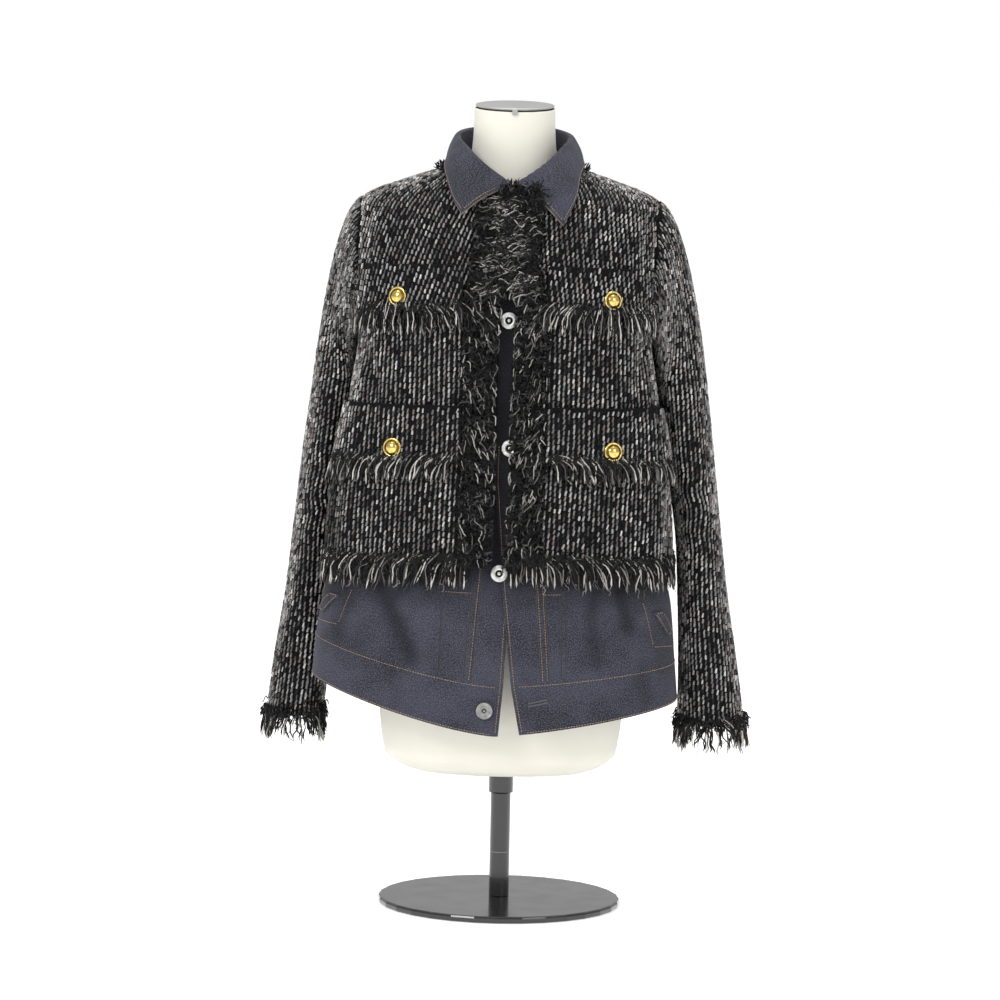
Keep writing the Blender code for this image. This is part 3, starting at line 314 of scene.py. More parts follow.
# ---- Denim lining jacket: fronts, back and waistband ----
# Indigo cotton twill, cut as a sleeveless jean jacket and sewn inside the tweed: two centre
# fronts, two side fronts, a back and a waistband in three lengths, joined by felled seams.
# The rings of the worn jacket from its hem up: half its width, the depths and heights of its
# front, side and back, how square it is, and how the wearer's stance shifts, dents and tilts it
TORSO_COLUMNS = (
    "half", "y_front", "y_side", "y_back", "z_front", "z_side", "z_back",
    "square", "shift", "dent", "tilt",
)
TWEED_RINGS = (
    (0.207, -0.140, -0.020, 0.126, 0.410, 0.404, 0.402, 2.7, -0.009, 0.028, 0.0),
    (0.202, -0.136, -0.018, 0.123, 0.470, 0.466, 0.464, 2.7, -0.008, 0.026, 0.0),
    (0.192, -0.132, -0.014, 0.118, 0.535, 0.532, 0.530, 2.7, -0.006, 0.024, 0.0),
    (0.179, -0.132, -0.008, 0.114, 0.600, 0.598, 0.597, 2.8, -0.006, 0.019, 0.0),
    (0.167, -0.134, 0.000, 0.113, 0.658, 0.655, 0.656, 3.0, -0.006, 0.004, 0.0),
    (0.170, -0.130, 0.002, 0.113, 0.705, 0.700, 0.706, 3.0, -0.0065, 0.000, 0.0),
    (0.173, -0.121, 0.003, 0.110, 0.750, 0.748, 0.756, 3.0, -0.006, 0.000, 0.0),
    (0.172, -0.110, 0.004, 0.105, 0.783, 0.792, 0.800, 2.8, -0.004, 0.000, 0.0),
    (0.166, -0.101, 0.005, 0.098, 0.801, 0.814, 0.828, 2.6, -0.002, 0.000, 0.0),
    (0.119, -0.090, 0.005, 0.081, 0.814, 0.834, 0.850, 2.3, -0.001, 0.000, 0.0),
    (0.073, -0.077, 0.003, 0.062, 0.824, 0.849, 0.862, 2.1, -0.001, 0.000, 0.0),
)
SKIRT_RINGS = (
    (0.2185, -0.155, -0.025, 0.136, 0.215, 0.263, 0.230, 2.6, -0.010, 0.028, 0.012),
    (0.2145, -0.151, -0.024, 0.134, 0.272, 0.308, 0.286, 2.6, -0.010, 0.028, 0.013),
    (0.2080, -0.143, -0.022, 0.129, 0.342, 0.362, 0.348, 2.6, -0.009, 0.028, 0.008),
)
# How much smaller than the tweed's rings the denim's are
DENIM_INSET = (0.0075, -0.0080, 0.0, 0.0075, 0.0060, 0.0060, 0.0060, 0.0, 0.0, 0.0, 0.0)
RISE_CURVE = 1.35  # how late a ring climbs or falls on its way to the side
# Where and how much each sleeve presses the body in
DENT_TURN = {1: 0.50, -1: 0.555}
DENT_SHARE = {1: 0.35, -1: 1.0}
DENT_SPREAD = 0.105
GRID_STEP = 0.05  # rings between the rows of a torso's fine grid
GRID_TURNS = 241  # its columns, from turn -1 to turn 1
OUTLINE_STEPS = 241
# A place on the body is a ring and a turn: 0 at centre front, 0.5 at the left side, 1 at the back
UNDERARM_RING = 4
SHOULDER_RING = 8
NECK_RING = 10
SKIRT = len(SKIRT_RINGS)
ARMHOLE_WIDTH = 0.118
DENIM = 0.0014  # thickness of the cloth


def unit(vectors):
    return vectors / np.maximum(np.linalg.norm(vectors, axis=-1, keepdims=True), 1e-12)


def ease(share):
    share = np.clip(share, 0, 1)
    return share * share * (3 - 2 * share)


def distance_along(points, axis=0):
    """Length from the start of a line of points, or of each line of a grid that runs on that axis."""
    steps = np.linalg.norm(np.diff(points, axis=axis), axis=-1)
    start = np.zeros_like(np.take(steps, [0], axis=axis))
    return np.concatenate([start, np.cumsum(steps, axis=axis)], axis=axis)


def bilinear(table, row, column):
    """Values of a table at places between its rows and columns."""
    row = np.clip(row, 0, table.shape[0] - 1.0001)
    column = np.clip(column, 0, table.shape[1] - 1.0001)
    low = np.floor(row).astype(int)
    left = np.floor(column).astype(int)
    down = row - low
    across = column - left
    if table.ndim == 3:
        down = down[..., None]
        across = across[..., None]
    lower = table[low, left] * (1 - across) + table[low, left + 1] * across
    upper = table[low + 1, left] * (1 - across) + table[low + 1, left + 1] * across
    return lower * (1 - down) + upper * down


def smooth_step(here, start, there, end, share):
    """A place on the way from here to there, which leaves and arrives in the given directions."""
    cube, square = share ** 3, share ** 2
    return (
        (2 * cube - 3 * square + 1) * here + (cube - 2 * square + share) * start
        + (3 * square - 2 * cube) * there + (cube - square) * end
    )


def smooth_row(table, place):
    """The row at a place between rows, on a smooth curve through them."""
    table = np.asarray(table)
    last = len(table) - 1
    first = int(min(max(math.floor(place), 0), last - 1))
    share = place - first
    a, b, c, d = (table[min(max(first + k, 0), last)] for k in (-1, 0, 1, 2))
    start = (c - a) / 2 if first > 0 else c - b
    end = (d - b) / 2 if first + 2 <= last else c - b
    return smooth_step(b, start, c, end, share)


def ring_outline(row, side):
    """Fine points of half a ring from centre front to centre back, and the turn of each."""
    steps = np.linspace(0, math.pi, OUTLINE_STEPS)
    power = 2 / row["square"]
    across = np.abs(np.sin(steps)) ** power
    along = np.abs(np.cos(steps)) ** power
    front = steps <= math.pi / 2
    y_end = np.where(front, row["y_front"], row["y_back"])
    z_end = np.where(front, row["z_front"], row["z_back"])
    y = row["y_side"] + (y_end - row["y_side"]) * along
    lengths = np.concatenate([[0.0], np.cumsum(np.hypot(np.diff(row["half"] * across), np.diff(y)))])
    middle = lengths[np.argmax(across)]
    rest = lengths[-1] - middle
    turns = np.where(lengths <= middle, 0.5 * lengths / middle, 0.5 + 0.5 * (lengths - middle) / rest)
    nearness = np.exp(-(((turns - DENT_TURN[side]) / DENT_SPREAD) ** 2))
    dent = row["dent"] * DENT_SHARE[side] * nearness
    height = z_end + (row["z_side"] - side * row["tilt"] - z_end) * across ** RISE_CURVE
    x = side * (row["half"] - dent) * across + row["shift"]
    return turns, np.stack([x, y, height], axis=1), middle


def grid_normals(points, wraps=True):
    """Outward normals of a grid whose rows climb and whose columns turn to the right."""
    climb = np.gradient(points, axis=0)
    if wraps:
        around = np.roll(points, -1, axis=1) - np.roll(points, 1, axis=1)
        around[:, 0] = around[:, -1] = points[:, 1] - points[:, -2]
    else:
        around = np.gradient(points, axis=1)
    return unit(np.cross(around, climb))


def torso_grid(rings):
    """A torso's fine grid: rows up from the hem, columns by turn from -1 to 1."""
    numbers = np.arange(0, len(rings) - 1 + GRID_STEP / 2, GRID_STEP)
    turns = np.linspace(-1, 1, GRID_TURNS)
    points = np.zeros((len(numbers), GRID_TURNS, 3))
    quarters, shifts, fronts = np.zeros((3, len(numbers)))
    for number, ring in enumerate(numbers):
        row = dict(zip(TORSO_COLUMNS, smooth_row(rings, ring)))
        for side in (1, -1):
            here = turns * side >= 0
            outline_turns, outline, quarter = ring_outline(row, side)
            for axis, values in enumerate(outline.T):
                points[number, here, axis] = np.interp(np.abs(turns[here]), outline_turns, values)
        quarters[number] = quarter
        shifts[number] = row["shift"]
        fronts[number] = row["z_front"]
    return {
        "points": points, "normals": grid_normals(points), "quarters": quarters,
        "shifts": shifts, "fronts": fronts, "turns": turns,
    }


CREASE_LIP = 0.45  # height of a crease's raised lips, as a share of its depth
CREASE_LIP_AT = 1.9  # and how many widths from its middle they stand
CREASE_MARKS = 40  # places along a crease's line
CREASE_ENDING = 0.7


def press_creases(grid, creases, place_of):
    """Presses soft valleys with raised lips into a grid. A crease is a run of stops, a width and a
    depth, and place_of turns a stop into a row and a column."""
    points = grid["points"]
    moved = np.zeros(points.shape[:2])
    for places, width, depth in creases:
        stops = np.array([place_of(*place) for place in places], float)
        run = np.linspace(0, len(stops) - 1, CREASE_MARKS)
        line = np.stack([np.interp(run, range(len(stops)), stops[:, axis]) for axis in (0, 1)], axis=1)
        marks = bilinear(points, line[:, 0], line[:, 1])
        gaps = np.linalg.norm(points[:, :, None, :] - marks[None, None], axis=3)
        nearest = gaps.argmin(axis=2)
        distance = gaps.min(axis=2) / width
        fade = np.sin(np.pi * (nearest + 0.5) / CREASE_MARKS) ** CREASE_ENDING
        valley = -np.exp(-(distance ** 2)) + CREASE_LIP * np.exp(-((distance - CREASE_LIP_AT) ** 2))
        moved += depth * fade * valley
    grid["points"] = points + grid["normals"] * moved[..., None]
    grid["normals"] = grid_normals(grid["points"])


def torso_place(ring, turn):
    """Row and column of a torso's fine grid."""
    ring, turn = np.broadcast_arrays(np.asarray(ring, float), np.asarray(turn, float))
    turn = np.mod(turn + 1, 2) - 1
    return ring / GRID_STEP, (turn + 1) / 2 * (GRID_TURNS - 1)


def torso_point(grid, ring, turn, lift=0.0):
    row, column = torso_place(ring, turn)
    normals = unit(bilinear(grid["normals"], row, column))
    return bilinear(grid["points"], row, column) + normals * np.asarray(lift)[..., None], normals


def at_ring(grid, key, ring):
    """A torso's own measure on that ring: its shifts, fronts or quarters."""
    return np.interp(np.asarray(ring) / GRID_STEP, np.arange(len(grid[key])), grid[key])


def turn_at(grid, ring, distance):
    """The signed turn on the front where a ring is that far from its own centre line."""
    rings, distances = np.broadcast_arrays(np.asarray(ring, float), np.asarray(distance, float))
    front = np.abs(grid["turns"]) <= 0.5
    columns = np.flatnonzero(front).astype(float)
    found = []
    for one_ring, one_distance in zip(rings.ravel(), distances.ravel()):
        row = np.full(len(columns), one_ring / GRID_STEP)
        x = bilinear(grid["points"], row, columns)[:, 0] - at_ring(grid, "shifts", one_ring)
        found.append(np.interp(one_distance, np.maximum.accumulate(x), grid["turns"][front]))
    return np.array(found).reshape(rings.shape)


def ring_at_height(grid, height):
    return np.interp(height, grid["fronts"], np.arange(len(grid["fronts"])) * GRID_STEP)


def cloth_turn(grid, ring, length):
    """The turn that lies that far along the cloth from the centre front."""
    return 0.5 * np.asarray(length) / at_ring(grid, "quarters", ring)


CLOTH_SMOOTH_UP_TO = 50


def wall(name, outer, inner, material):
    """A thin closed sheet of cloth from its outer and inner grids, its UV map in metres of cloth."""
    rows, columns = outer.shape[:2]
    around = distance_along(outer, 1)
    around = around - around.mean(axis=1, keepdims=True)
    flat = np.stack([around, distance_along(outer)], axis=2)
    number = np.arange(rows * columns).reshape(rows, columns)

    def quads(a, b, c, d, inside):
        """Vertex numbers and UVs of faces, from (rows, columns) of their corners. Inside names the
        corners that are on the cloth's inner face."""
        numbers = [number[place] + deep * rows * columns for place, deep in zip((a, b, c, d), inside)]
        uvs = [flat[place] for place in (a, b, c, d)]
        return np.stack(numbers, axis=-1).reshape(-1, 4), np.stack(uvs, axis=-2).reshape(-1, 8)

    low, high, left, right = slice(None, -1), slice(1, None), slice(None, -1), slice(1, None)
    parts = [
        quads((low, left), (low, right), (high, right), (high, left), (0, 0, 0, 0)),
        quads((high, left), (high, right), (low, right), (low, left), (1, 1, 1, 1)),
        quads((0, right), (0, left), (0, left), (0, right), (0, 0, 1, 1)),
        quads((-1, left), (-1, right), (-1, right), (-1, left), (0, 0, 1, 1)),
        quads((low, 0), (high, 0), (high, 0), (low, 0), (0, 0, 1, 1)),
        quads((high, -1), (low, -1), (low, -1), (high, -1), (0, 0, 1, 1)),
    ]
    faces, uvs = (np.concatenate(part) for part in zip(*parts))
    points = np.concatenate([outer.reshape(-1, 3), inner.reshape(-1, 3)])
    mesh = bpy.data.meshes.new(name)
    mesh.from_pydata(points.tolist(), [], faces.tolist())
    mesh.uv_layers.new(name="cloth").data.foreach_set("uv", uvs.reshape(-1))
    mesh.shade_smooth()
    mesh.set_sharp_from_angle(angle=math.radians(CLOTH_SMOOTH_UP_TO))
    made = put_in(name, mesh)
    wear(made, material)
    return made


denim_rings = SKIRT_RINGS + tuple(tuple(np.subtract(ring, DENIM_INSET)) for ring in TWEED_RINGS)
# Lines down each front, as distances from the centre at these heights: its edge and its two seams
DENIM_HEIGHTS = (0.200, 0.269, 0.400, 0.500, 0.850)
DENIM_EDGES = {
    1: (0.022, 0.009, -0.006, -0.014, -0.010),
    -1: (-0.006, 0.000, 0.006, 0.006, 0.006),
}
DENIM_SEAMS = {
    1: (0.0485, 0.0475, 0.038, 0.036, 0.030),
    -1: (-0.0430, -0.0415, -0.031, -0.031, -0.030),
}
DENIM_FOLD_LINES = {
    1: (0.0690, 0.0680, 0.066, 0.066, 0.066),
    -1: (-0.0760, -0.0750, -0.072, -0.071, -0.070),
}
SIDES = ((1, "left"), (-1, "right"))  # the wearer's
DENIM_TUCK = 0.0024
DENIM_TUCK_WIDTH = 0.030
DENIM_TUCK_START = 0.6
DENIM_ARMHOLE_WIDER = 0.012
DENIM_ARMHOLE_DEEPER = 0.05
DENIM_NECK_RING = NECK_RING + SKIRT
BAND_TOP = 0.9995
BODY_FOOT = 1.0005
SIDE_GAP = 0.0006
FINE_ROWS_TO = 3.7  # the denim below this ring shows, so its rows are closer
# Creases of the hanging denim: (ring, turn) places, width, depth
DENIM_CREASES = (
    (((2.9, -0.262), (2.2, -0.234), (1.7, -0.198), (1.2, -0.166)), 0.0095, 0.0048),
    (((3.1, -0.180), (2.5, -0.200), (2.0, -0.228)), 0.0080, 0.0030),
    (((2.9, -0.335), (2.0, -0.318), (1.2, -0.330)), 0.0090, 0.0024),
    (((3.3, 0.285), (2.5, 0.262), (1.8, 0.276)), 0.0085, 0.0042),
    (((2.8, 0.215), (2.1, 0.195), (1.3, 0.204)), 0.0080, 0.0030),
    (((0.9, -0.200), (0.5, -0.190), (0.1, -0.196)), 0.0060, 0.0014),
    (((0.9, 0.300), (0.5, 0.308), (0.1, 0.300)), 0.0065, 0.0016),
    (((3.3, 0.800), (2.3, 0.820), (1.3, 0.812)), 0.0100, 0.0034),
    (((3.4, -0.770), (2.5, -0.760), (1.6, -0.772)), 0.0095, 0.0030),
    (((3.0, 0.930), (2.1, 0.945), (1.3, 0.938)), 0.0085, 0.0022),
    (((3.0, -0.900), (2.2, -0.912), (1.5, -0.905)), 0.0080, 0.0024),
    (((3.2, 0.560), (2.2, 0.545), (1.4, 0.556)), 0.0100, 0.0030),
    (((3.2, -0.540), (2.3, -0.560), (1.3, -0.548)), 0.0100, 0.0028),
)
denim_grid = torso_grid(denim_rings)
press_creases(denim_grid, DENIM_CREASES, torso_place)

DENIM_DARK = (0.0045, 0.005, 0.011, 1.0)
DENIM_MID = (0.026, 0.027, 0.045, 1.0)
DENIM_PALE = (0.165, 0.165, 0.198, 1.0)
# Painted shade on the denim, darker under the tweed's hem fringe and where the tweed covers it, as down
# the gap between its fronts: height and strength of the colour kept
DENIM_PAINTED_SHADE = ((0.350, 1.0), (0.380, 0.62), (0.410, 0.28), (0.775, 0.28), (0.800, 1.0))
TWILL_PITCH = 0.0008
PALE_SHARE = 0.72  # how much of the pale weft shows where it shows most
# Painted shade in the denim's creases: its strongest darkness, the crease depth that gets all of it,
# its spread in crease widths and the marks along each crease
FOLD_DARKNESS = 0.55
FOLD_FULL_DEPTH = 0.0040
FOLD_SPREAD = 1.15
FOLD_MARKS = 24


def painted(material, layer):
    return add_node(material, "ShaderNodeVertexColor", layer_name=layer).outputs["Color"]


def dimmed(material, colour, value):
    """A colour made darker or lighter by a value."""
    inputs = {"Color": colour, "Value": value}
    return add_node(material, "ShaderNodeHueSaturation", inputs).outputs["Color"]


def denim_finish(name, dark, mid, pale):
    """Twill lines, pale flecks where the white weft shows between the blue warp, and painted shade."""
    material = new_finish(name, {"Roughness": 0.9, "Specular IOR Level": 0.25, "Sheen Weight": 0.06})
    flat = add_node(material, "ShaderNodeUVMap", uv_map="cloth").outputs["UV"]
    twill = add_node(material, "ShaderNodeTexWave", {
        "Vector": flat, "Scale": 0.32 / TWILL_PITCH, "Distortion": 1.2, "Detail": 2.0,
        "Detail Scale": 2.0,
    }, bands_direction="DIAGONAL").outputs["Fac"]
    flecks = noise(material, flat, 760.0, 3.0, 0.8)
    place = object_place(material)
    ground = add_ramp(material, noise(material, place, 15.0, 5.0, 0.6), [(0.39, dark), (0.60, mid)])
    speckle = add_ramp(material, flecks, [(0.46, grey(0)), (0.68, grey(PALE_SHARE))])
    speckled = add_node(material, "ShaderNodeMix", {"Factor": speckle}, data_type="RGBA")
    # The colour sockets of a Mix node have the same names as its number sockets.
    colour_a, colour_b = [socket for socket in speckled.inputs if socket.type == "RGBA"][:2]
    material.node_tree.links.new(ground, colour_a)
    colour_b.default_value = pale
    mixed = [socket for socket in speckled.outputs if socket.type == "RGBA"][0]
    heights = [(height, grey(strength)) for height, strength in DENIM_PAINTED_SHADE]
    # Painted shade by height: darker under the tweed's hem fringe and where the tweed covers it
    height_shaded = dimmed(material, mixed, add_ramp(material, z_height(material, place), heights))
    # Painted shade in the creases, read from the fold attribute
    fold_shade = add_ramp(material, painted(material, "fold"), [(0.0, grey(1)), (1.0, grey(0))])
    shade(material, {
        "Base Color": dimmed(material, height_shaded, fold_shade),
        "Normal": bump(material, twill, 0.00010, 0.4, bump(material, flecks, 0.00008, 0.4)),
    })
    return material


denim_finish_body = denim_finish("denim_twill", DENIM_DARK, DENIM_MID, DENIM_PALE)


def armhole_far(ring, low, high, width, gap_turn=0.0004):
    """Half the armhole's width, in turns, beside a panel's far edge on that ring."""
    inside = 1 - ((np.asarray(ring, float) - (low + high) / 2) / ((high - low) / 2)) ** 2
    return np.maximum(width * np.sqrt(np.maximum(inside, 0.0)), gap_turn)


def rows_past_hole(low, high, foot, head, step, around):
    """Ring numbers from foot to head, bunched at the ends of the armhole between low and high."""
    swing = np.linspace(0, math.pi, around)
    hole = (low + high) / 2 - (high - low) / 2 * np.cos(swing)
    below = np.linspace(foot, low, max(int(round((low - foot) / step)), 1) + 1)[:-1]
    above = np.linspace(high, head, max(int(round((head - high) / step)), 1) + 1)[1:]
    return np.concatenate([below, hole, above])


def denim_line_turn(ring, places):
    """The signed turn of a line down the denim front, given by height."""
    x = np.interp(at_ring(denim_grid, "fronts", ring), DENIM_HEIGHTS, places)
    return turn_at(denim_grid, ring, x - at_ring(denim_grid, "shifts", ring))


def denim_tuck(turns, side=-1):
    """How far the under front, the right one, lies inside the over front near the middle."""
    if side == 1:
        return np.zeros_like(turns)
    reach = cloth_turn(denim_grid, SKIRT, DENIM_TUCK_WIDTH)
    share = np.clip(1 - (-turns - reach * DENIM_TUCK_START) / reach, 0, 1)
    return -DENIM_TUCK * ease(share)


def paint_fold_shade(made):
    """Paints shade into a denim panel's creases: marks how dark each of its points is, by how near and
    how deep a crease it lies in.
    """
    points = np.array([vertex.co for vertex in made.data.vertices])
    shade_at = np.zeros(len(points))
    for stops, width, depth in DENIM_CREASES:
        rings, turns = np.array(stops).T
        run = np.linspace(0, len(stops) - 1, FOLD_MARKS)
        marks = (np.interp(run, np.arange(len(stops)), places) for places in (rings, turns))
        line, _ = torso_point(denim_grid, *marks)
        gap = np.linalg.norm(points[:, None] - line[None], axis=2).min(axis=1)
        strength = FOLD_DARKNESS * min(depth / FOLD_FULL_DEPTH, 1.0)
        shade_at = np.maximum(shade_at, strength * np.exp(-((gap / (FOLD_SPREAD * width)) ** 2)))
    # The fold attribute holds the painted shade
    fold = made.data.color_attributes.new("fold", "FLOAT_COLOR", "POINT")
    fold.data.foreach_set("color", np.repeat(shade_at, 4).astype(np.float32))


def denim_panel(name, node_name, rings, turns, side=1):
    outer, normals = torso_point(denim_grid, rings[:, None], turns, denim_tuck(turns, side))
    made = wall(name, outer, outer - normals * DENIM, denim_finish_body)
    paint_fold_shade(made)
    settle(made, "denim", node_name)


def columns_between(near, far, count):
    """The turns of a panel's columns, at even steps from one edge line to the other."""
    return near[:, None] + (far - near)[:, None] * np.linspace(0, 1, count)


def back_columns(start, count):
    """The same across the whole back, which is alike on both sides of its middle."""
    half = columns_between(start, 1.0, count)
    return np.concatenate([half, 2 - half[:, ::-1][:, 1:]], axis=1)


FINE_ROW_STEP = 0.055
DENIM_ROW_STEP = 0.16
DENIM_HOLE_ROWS = 22
BAND_ROWS = 18
CENTRE_COLUMNS = 12
SIDE_COLUMNS = 38
HALF_ROUND = 0.35  # metres round half of the jacket, which is one turn
BACK_HALF_COLUMNS = 36
BACK_SEAM_COLUMN = 18
DENIM_HOLE = (  # lowest and highest ring of the denim's armhole, and its width in turns
    UNDERARM_RING + SKIRT - DENIM_ARMHOLE_DEEPER, SHOULDER_RING + SKIRT + DENIM_ARMHOLE_DEEPER,
    ARMHOLE_WIDTH + DENIM_ARMHOLE_WIDER,
)
denim_rows = np.concatenate([
    np.arange(BODY_FOOT, FINE_ROWS_TO, FINE_ROW_STEP),
    rows_past_hole(*DENIM_HOLE[:2], FINE_ROWS_TO, DENIM_NECK_RING, DENIM_ROW_STEP, DENIM_HOLE_ROWS),
])
band_rows = np.linspace(0.0, BAND_TOP, BAND_ROWS)
for side, word in SIDES:
    for rows, part in ((denim_rows, "body"), (band_rows, "band")):
        near = denim_line_turn(rows, DENIM_EDGES[side])
        seam = denim_line_turn(rows, DENIM_SEAMS[side])
        far = side * (0.5 - armhole_far(rows, *DENIM_HOLE))
        gap = side * cloth_turn(denim_grid, rows, SIDE_GAP / 2)
        centre = columns_between(near, seam - gap, CENTRE_COLUMNS)[:, ::side]
        flank = columns_between(seam + gap, far, SIDE_COLUMNS)[:, ::side]
        if part == "body":
            denim_panel(f"denim_centre_front_{word}", f"denim_front_centre_{word}", rows, centre, side)
            denim_panel(f"denim_side_front_{word}", f"denim_front_side_{word}", rows, flank, side)
        else:
            both = [centre, flank[:, 1:]] if side == 1 else [flank[:, :-1], centre]
            turns = np.concatenate(both, axis=1)
            denim_panel(f"denim_waistband_{word}", f"denim_band_{word}", rows, turns, side)
turns = back_columns(0.5 + armhole_far(denim_rows, *DENIM_HOLE), BACK_HALF_COLUMNS)
seams = (0, BACK_SEAM_COLUMN, 2 * (BACK_HALF_COLUMNS - 1) - BACK_SEAM_COLUMN, turns.shape[1] - 1)
for first, last, piece, node_name in zip(
    seams, seams[1:], ("left_side_back", "centre_back", "right_side_back"),
    ("denim_back_side_left", "denim_back_centre", "denim_back_side_right"),
):
    trimmed = turns[:, first:last + 1].copy()
    trimmed[:, 0] += SIDE_GAP / 2 / HALF_ROUND
    trimmed[:, -1] -= SIDE_GAP / 2 / HALF_ROUND
    denim_panel(f"denim_{piece}", node_name, denim_rows, trimmed)
turns = back_columns(0.5 + armhole_far(band_rows, *DENIM_HOLE), BACK_HALF_COLUMNS)
denim_panel("denim_waistband_back", "denim_band_back", band_rows, turns)


# ---- Seams and topstitching of the denim ----
# Heavy tan thread in pairs of lines along felled seams, and single lines beside the front edges,
# the hem, the waistband seam and the side pockets. Each stitch sinks a little into the cloth.
STITCH_PITCH = 0.0031
STITCH_LENGTH = 0.0024
STITCH_RADIUS = 0.00042
STITCH_TAN = (0.290, 0.180, 0.092)
SEAM_RIDGE = 0.0008
PLACKET_STITCH_RING = 2.5
EDGE_STITCH_TOP = 5.2  # the front edges are stitched up to this ring
POCKET_BAG = ((2.30, 0.312), (1.40, 0.333), (1.25, 0.470), (2.20, 0.460))  # ring and turn
SEAM_WIDTH = 0.0085
PLAIN_SEAM_WIDTH = 0.0055
PLAIN_SEAM_EDGE = 0.0030
SEAM_PAIRS = {1: (-0.0028, 0.0028), -1: (0.0026,)}  # its lines of stitches, off the seam's middle
EDGE_STITCH_INSET = 0.0035
BAND_STITCH_INSET = 0.035  # in rings
BAND_STITCH_START = 0.012  # in turns from the front edge
# Radius and lift of the painted shadow lines beside the seams
SEAM_SHADOW_RADIUS = 0.00080
SEAM_SHADOW_LIFT = 0.00015
RIDGE_PROFILE = (0.05, 0.85, 1.0, 0.85, 0.05)
RIDGE_SINK = 0.0002
RIDGE_STITCH_LIFT = 0.0011
SEAM_TOP = 3.9  # the seams' detail ends at this ring, under the tweed
STITCH_SINK = 0.3  # how deep a stitch's ends go, as a share of its lift


def tubes(name, slot, material, paths, ups, radii, flatness, colours, sides=4, stands_for=()):
    """One mesh of many short spindles. Each path's ends are points, and rings stand between. The
    radii and colours may be one for all."""
    count, stops, _ = paths.shape
    radii = np.broadcast_to(radii, (count, stops - 2))
    along = unit(np.gradient(paths, axis=1))
    across = unit(np.cross(along, ups))
    over = np.cross(across, along)
    angles = math.pi / 2 + np.arange(sides) * 2 * math.pi / sides
    inner = slice(1, stops - 1)
    swing = (
        across[:, inner, None] * np.cos(angles)[:, None]
        + over[:, inner, None] * (np.sin(angles) * flatness)[:, None]
    )
    rings = paths[:, inner, None] + swing * radii[:, :, None, None]
    middle = stops - 2
    each = middle * sides + 2
    points = np.concatenate([
        rings.reshape(count, middle * sides, 3), paths[:, :1], paths[:, -1:]
    ], axis=1)
    faces = []
    for side in range(sides):
        after = (side + 1) % sides
        faces.append((middle * sides, side, after, after))
        for ring in range(middle - 1):
            low = ring * sides
            faces.append((low + side, low + sides + side, low + sides + after, low + after))
        top = (middle - 1) * sides
        faces.append((top + side, middle * sides + 1, top + after, top + after))
    pattern = np.array(faces)
    numbers = (pattern[None] + (np.arange(count) * each)[:, None, None]).reshape(-1, 4)
    triangle = numbers[:, 2] == numbers[:, 3]
    sizes = np.where(triangle, 3, 4)
    mesh = bpy.data.meshes.new(name)
    mesh.vertices.add(count * each)
    mesh.vertices.foreach_set("co", points.reshape(-1))
    keep = np.ones(numbers.shape, bool)
    keep[triangle, 3] = False
    loops = numbers[keep]
    mesh.loops.add(len(loops))
    mesh.loops.foreach_set("vertex_index", loops)
    mesh.polygons.add(len(sizes))
    mesh.polygons.foreach_set("loop_start", np.concatenate([[0], np.cumsum(sizes)[:-1]]))
    mesh.update(calc_edges=True)
    tint = mesh.color_attributes.new("yarn", "FLOAT_COLOR", "POINT")
    shades = np.concatenate([np.broadcast_to(colours, (count, 3)), np.ones((count, 1))], axis=1)
    tint.data.foreach_set("color", np.repeat(shades, each, axis=0).reshape(-1))
    mesh.shade_smooth()
    made = put_in(name, mesh)
    wear(made, material)
    settle(made, slot, *stands_for)
    return made


thread_finish = new_finish("tan_thread", {"Roughness": 0.6, "Sheen Weight": 0.3})
twist = add_node(
    thread_finish, "ShaderNodeTexWave",
    {"Vector": object_place(thread_finish), "Scale": 900.0}, bands_direction="DIAGONAL",
).outputs["Fac"]
shade(thread_finish, {
    "Base Color": painted(thread_finish, "yarn"), "Normal": bump(thread_finish, twist, 0.0001, 0.5),
})
stitch_rng = np.random.default_rng(31)
stitch_paths = []
stitch_ups = []


def stitch_along(points, normals, lift=0.00025):
    """Stitches along a line of surface points, at an even pitch."""
    lengths = distance_along(points)
    centres = np.arange(STITCH_PITCH, lengths[-1] - STITCH_PITCH / 2, STITCH_PITCH)
    centres = centres + stitch_rng.normal(0, 0.00010, len(centres))
    places = centres[:, None] + STITCH_LENGTH * np.array([-0.5, -0.28, 0.28, 0.5])
    path = np.stack([np.interp(places, lengths, values) for values in points.T], axis=2)
    up = unit(np.stack([np.interp(places, lengths, values) for values in normals.T], axis=2))
    path += up * (np.array([-STITCH_SINK, 1.0, 1.0, -STITCH_SINK]) * lift)[:, None]
    stitch_paths.append(path)
    stitch_ups.append(up)


def stitch_rings(rings, turns, side=1, lift=0.0003):
    """Stitches along a line on the denim, tucked in on the under front, where side is -1."""
    rings, turns = np.broadcast_arrays(rings, turns)
    run = np.linspace(0, 1, len(rings))
    fine = np.linspace(0, 1, 260)
    ring, turn = np.interp(fine, run, rings), np.interp(fine, run, turns)
    points, normals = torso_point(denim_grid, ring, turn, denim_tuck(turn, side))
    stitch_along(points, normals, lift)


def seam_ridge(name, rings, turns, width):
    """A felled seam's raised strip of cloth, from its middle line on the denim."""
    half = cloth_turn(denim_grid, rings, width / 2)
    across = np.array([-1.0, -0.72, 0.0, 0.72, 1.0])
    grid = turns[:, None] + half[:, None] * across
    lifts = SEAM_RIDGE * np.array(RIDGE_PROFILE)
    tuck = denim_tuck(grid, np.sign(turns.mean()))
    outer, _ = torso_point(denim_grid, rings[:, None], grid, lifts + tuck)
    inner, _ = torso_point(denim_grid, rings[:, None], grid, tuck - RIDGE_SINK)
    settle(wall(name, outer, inner, denim_finish_body), "denim")
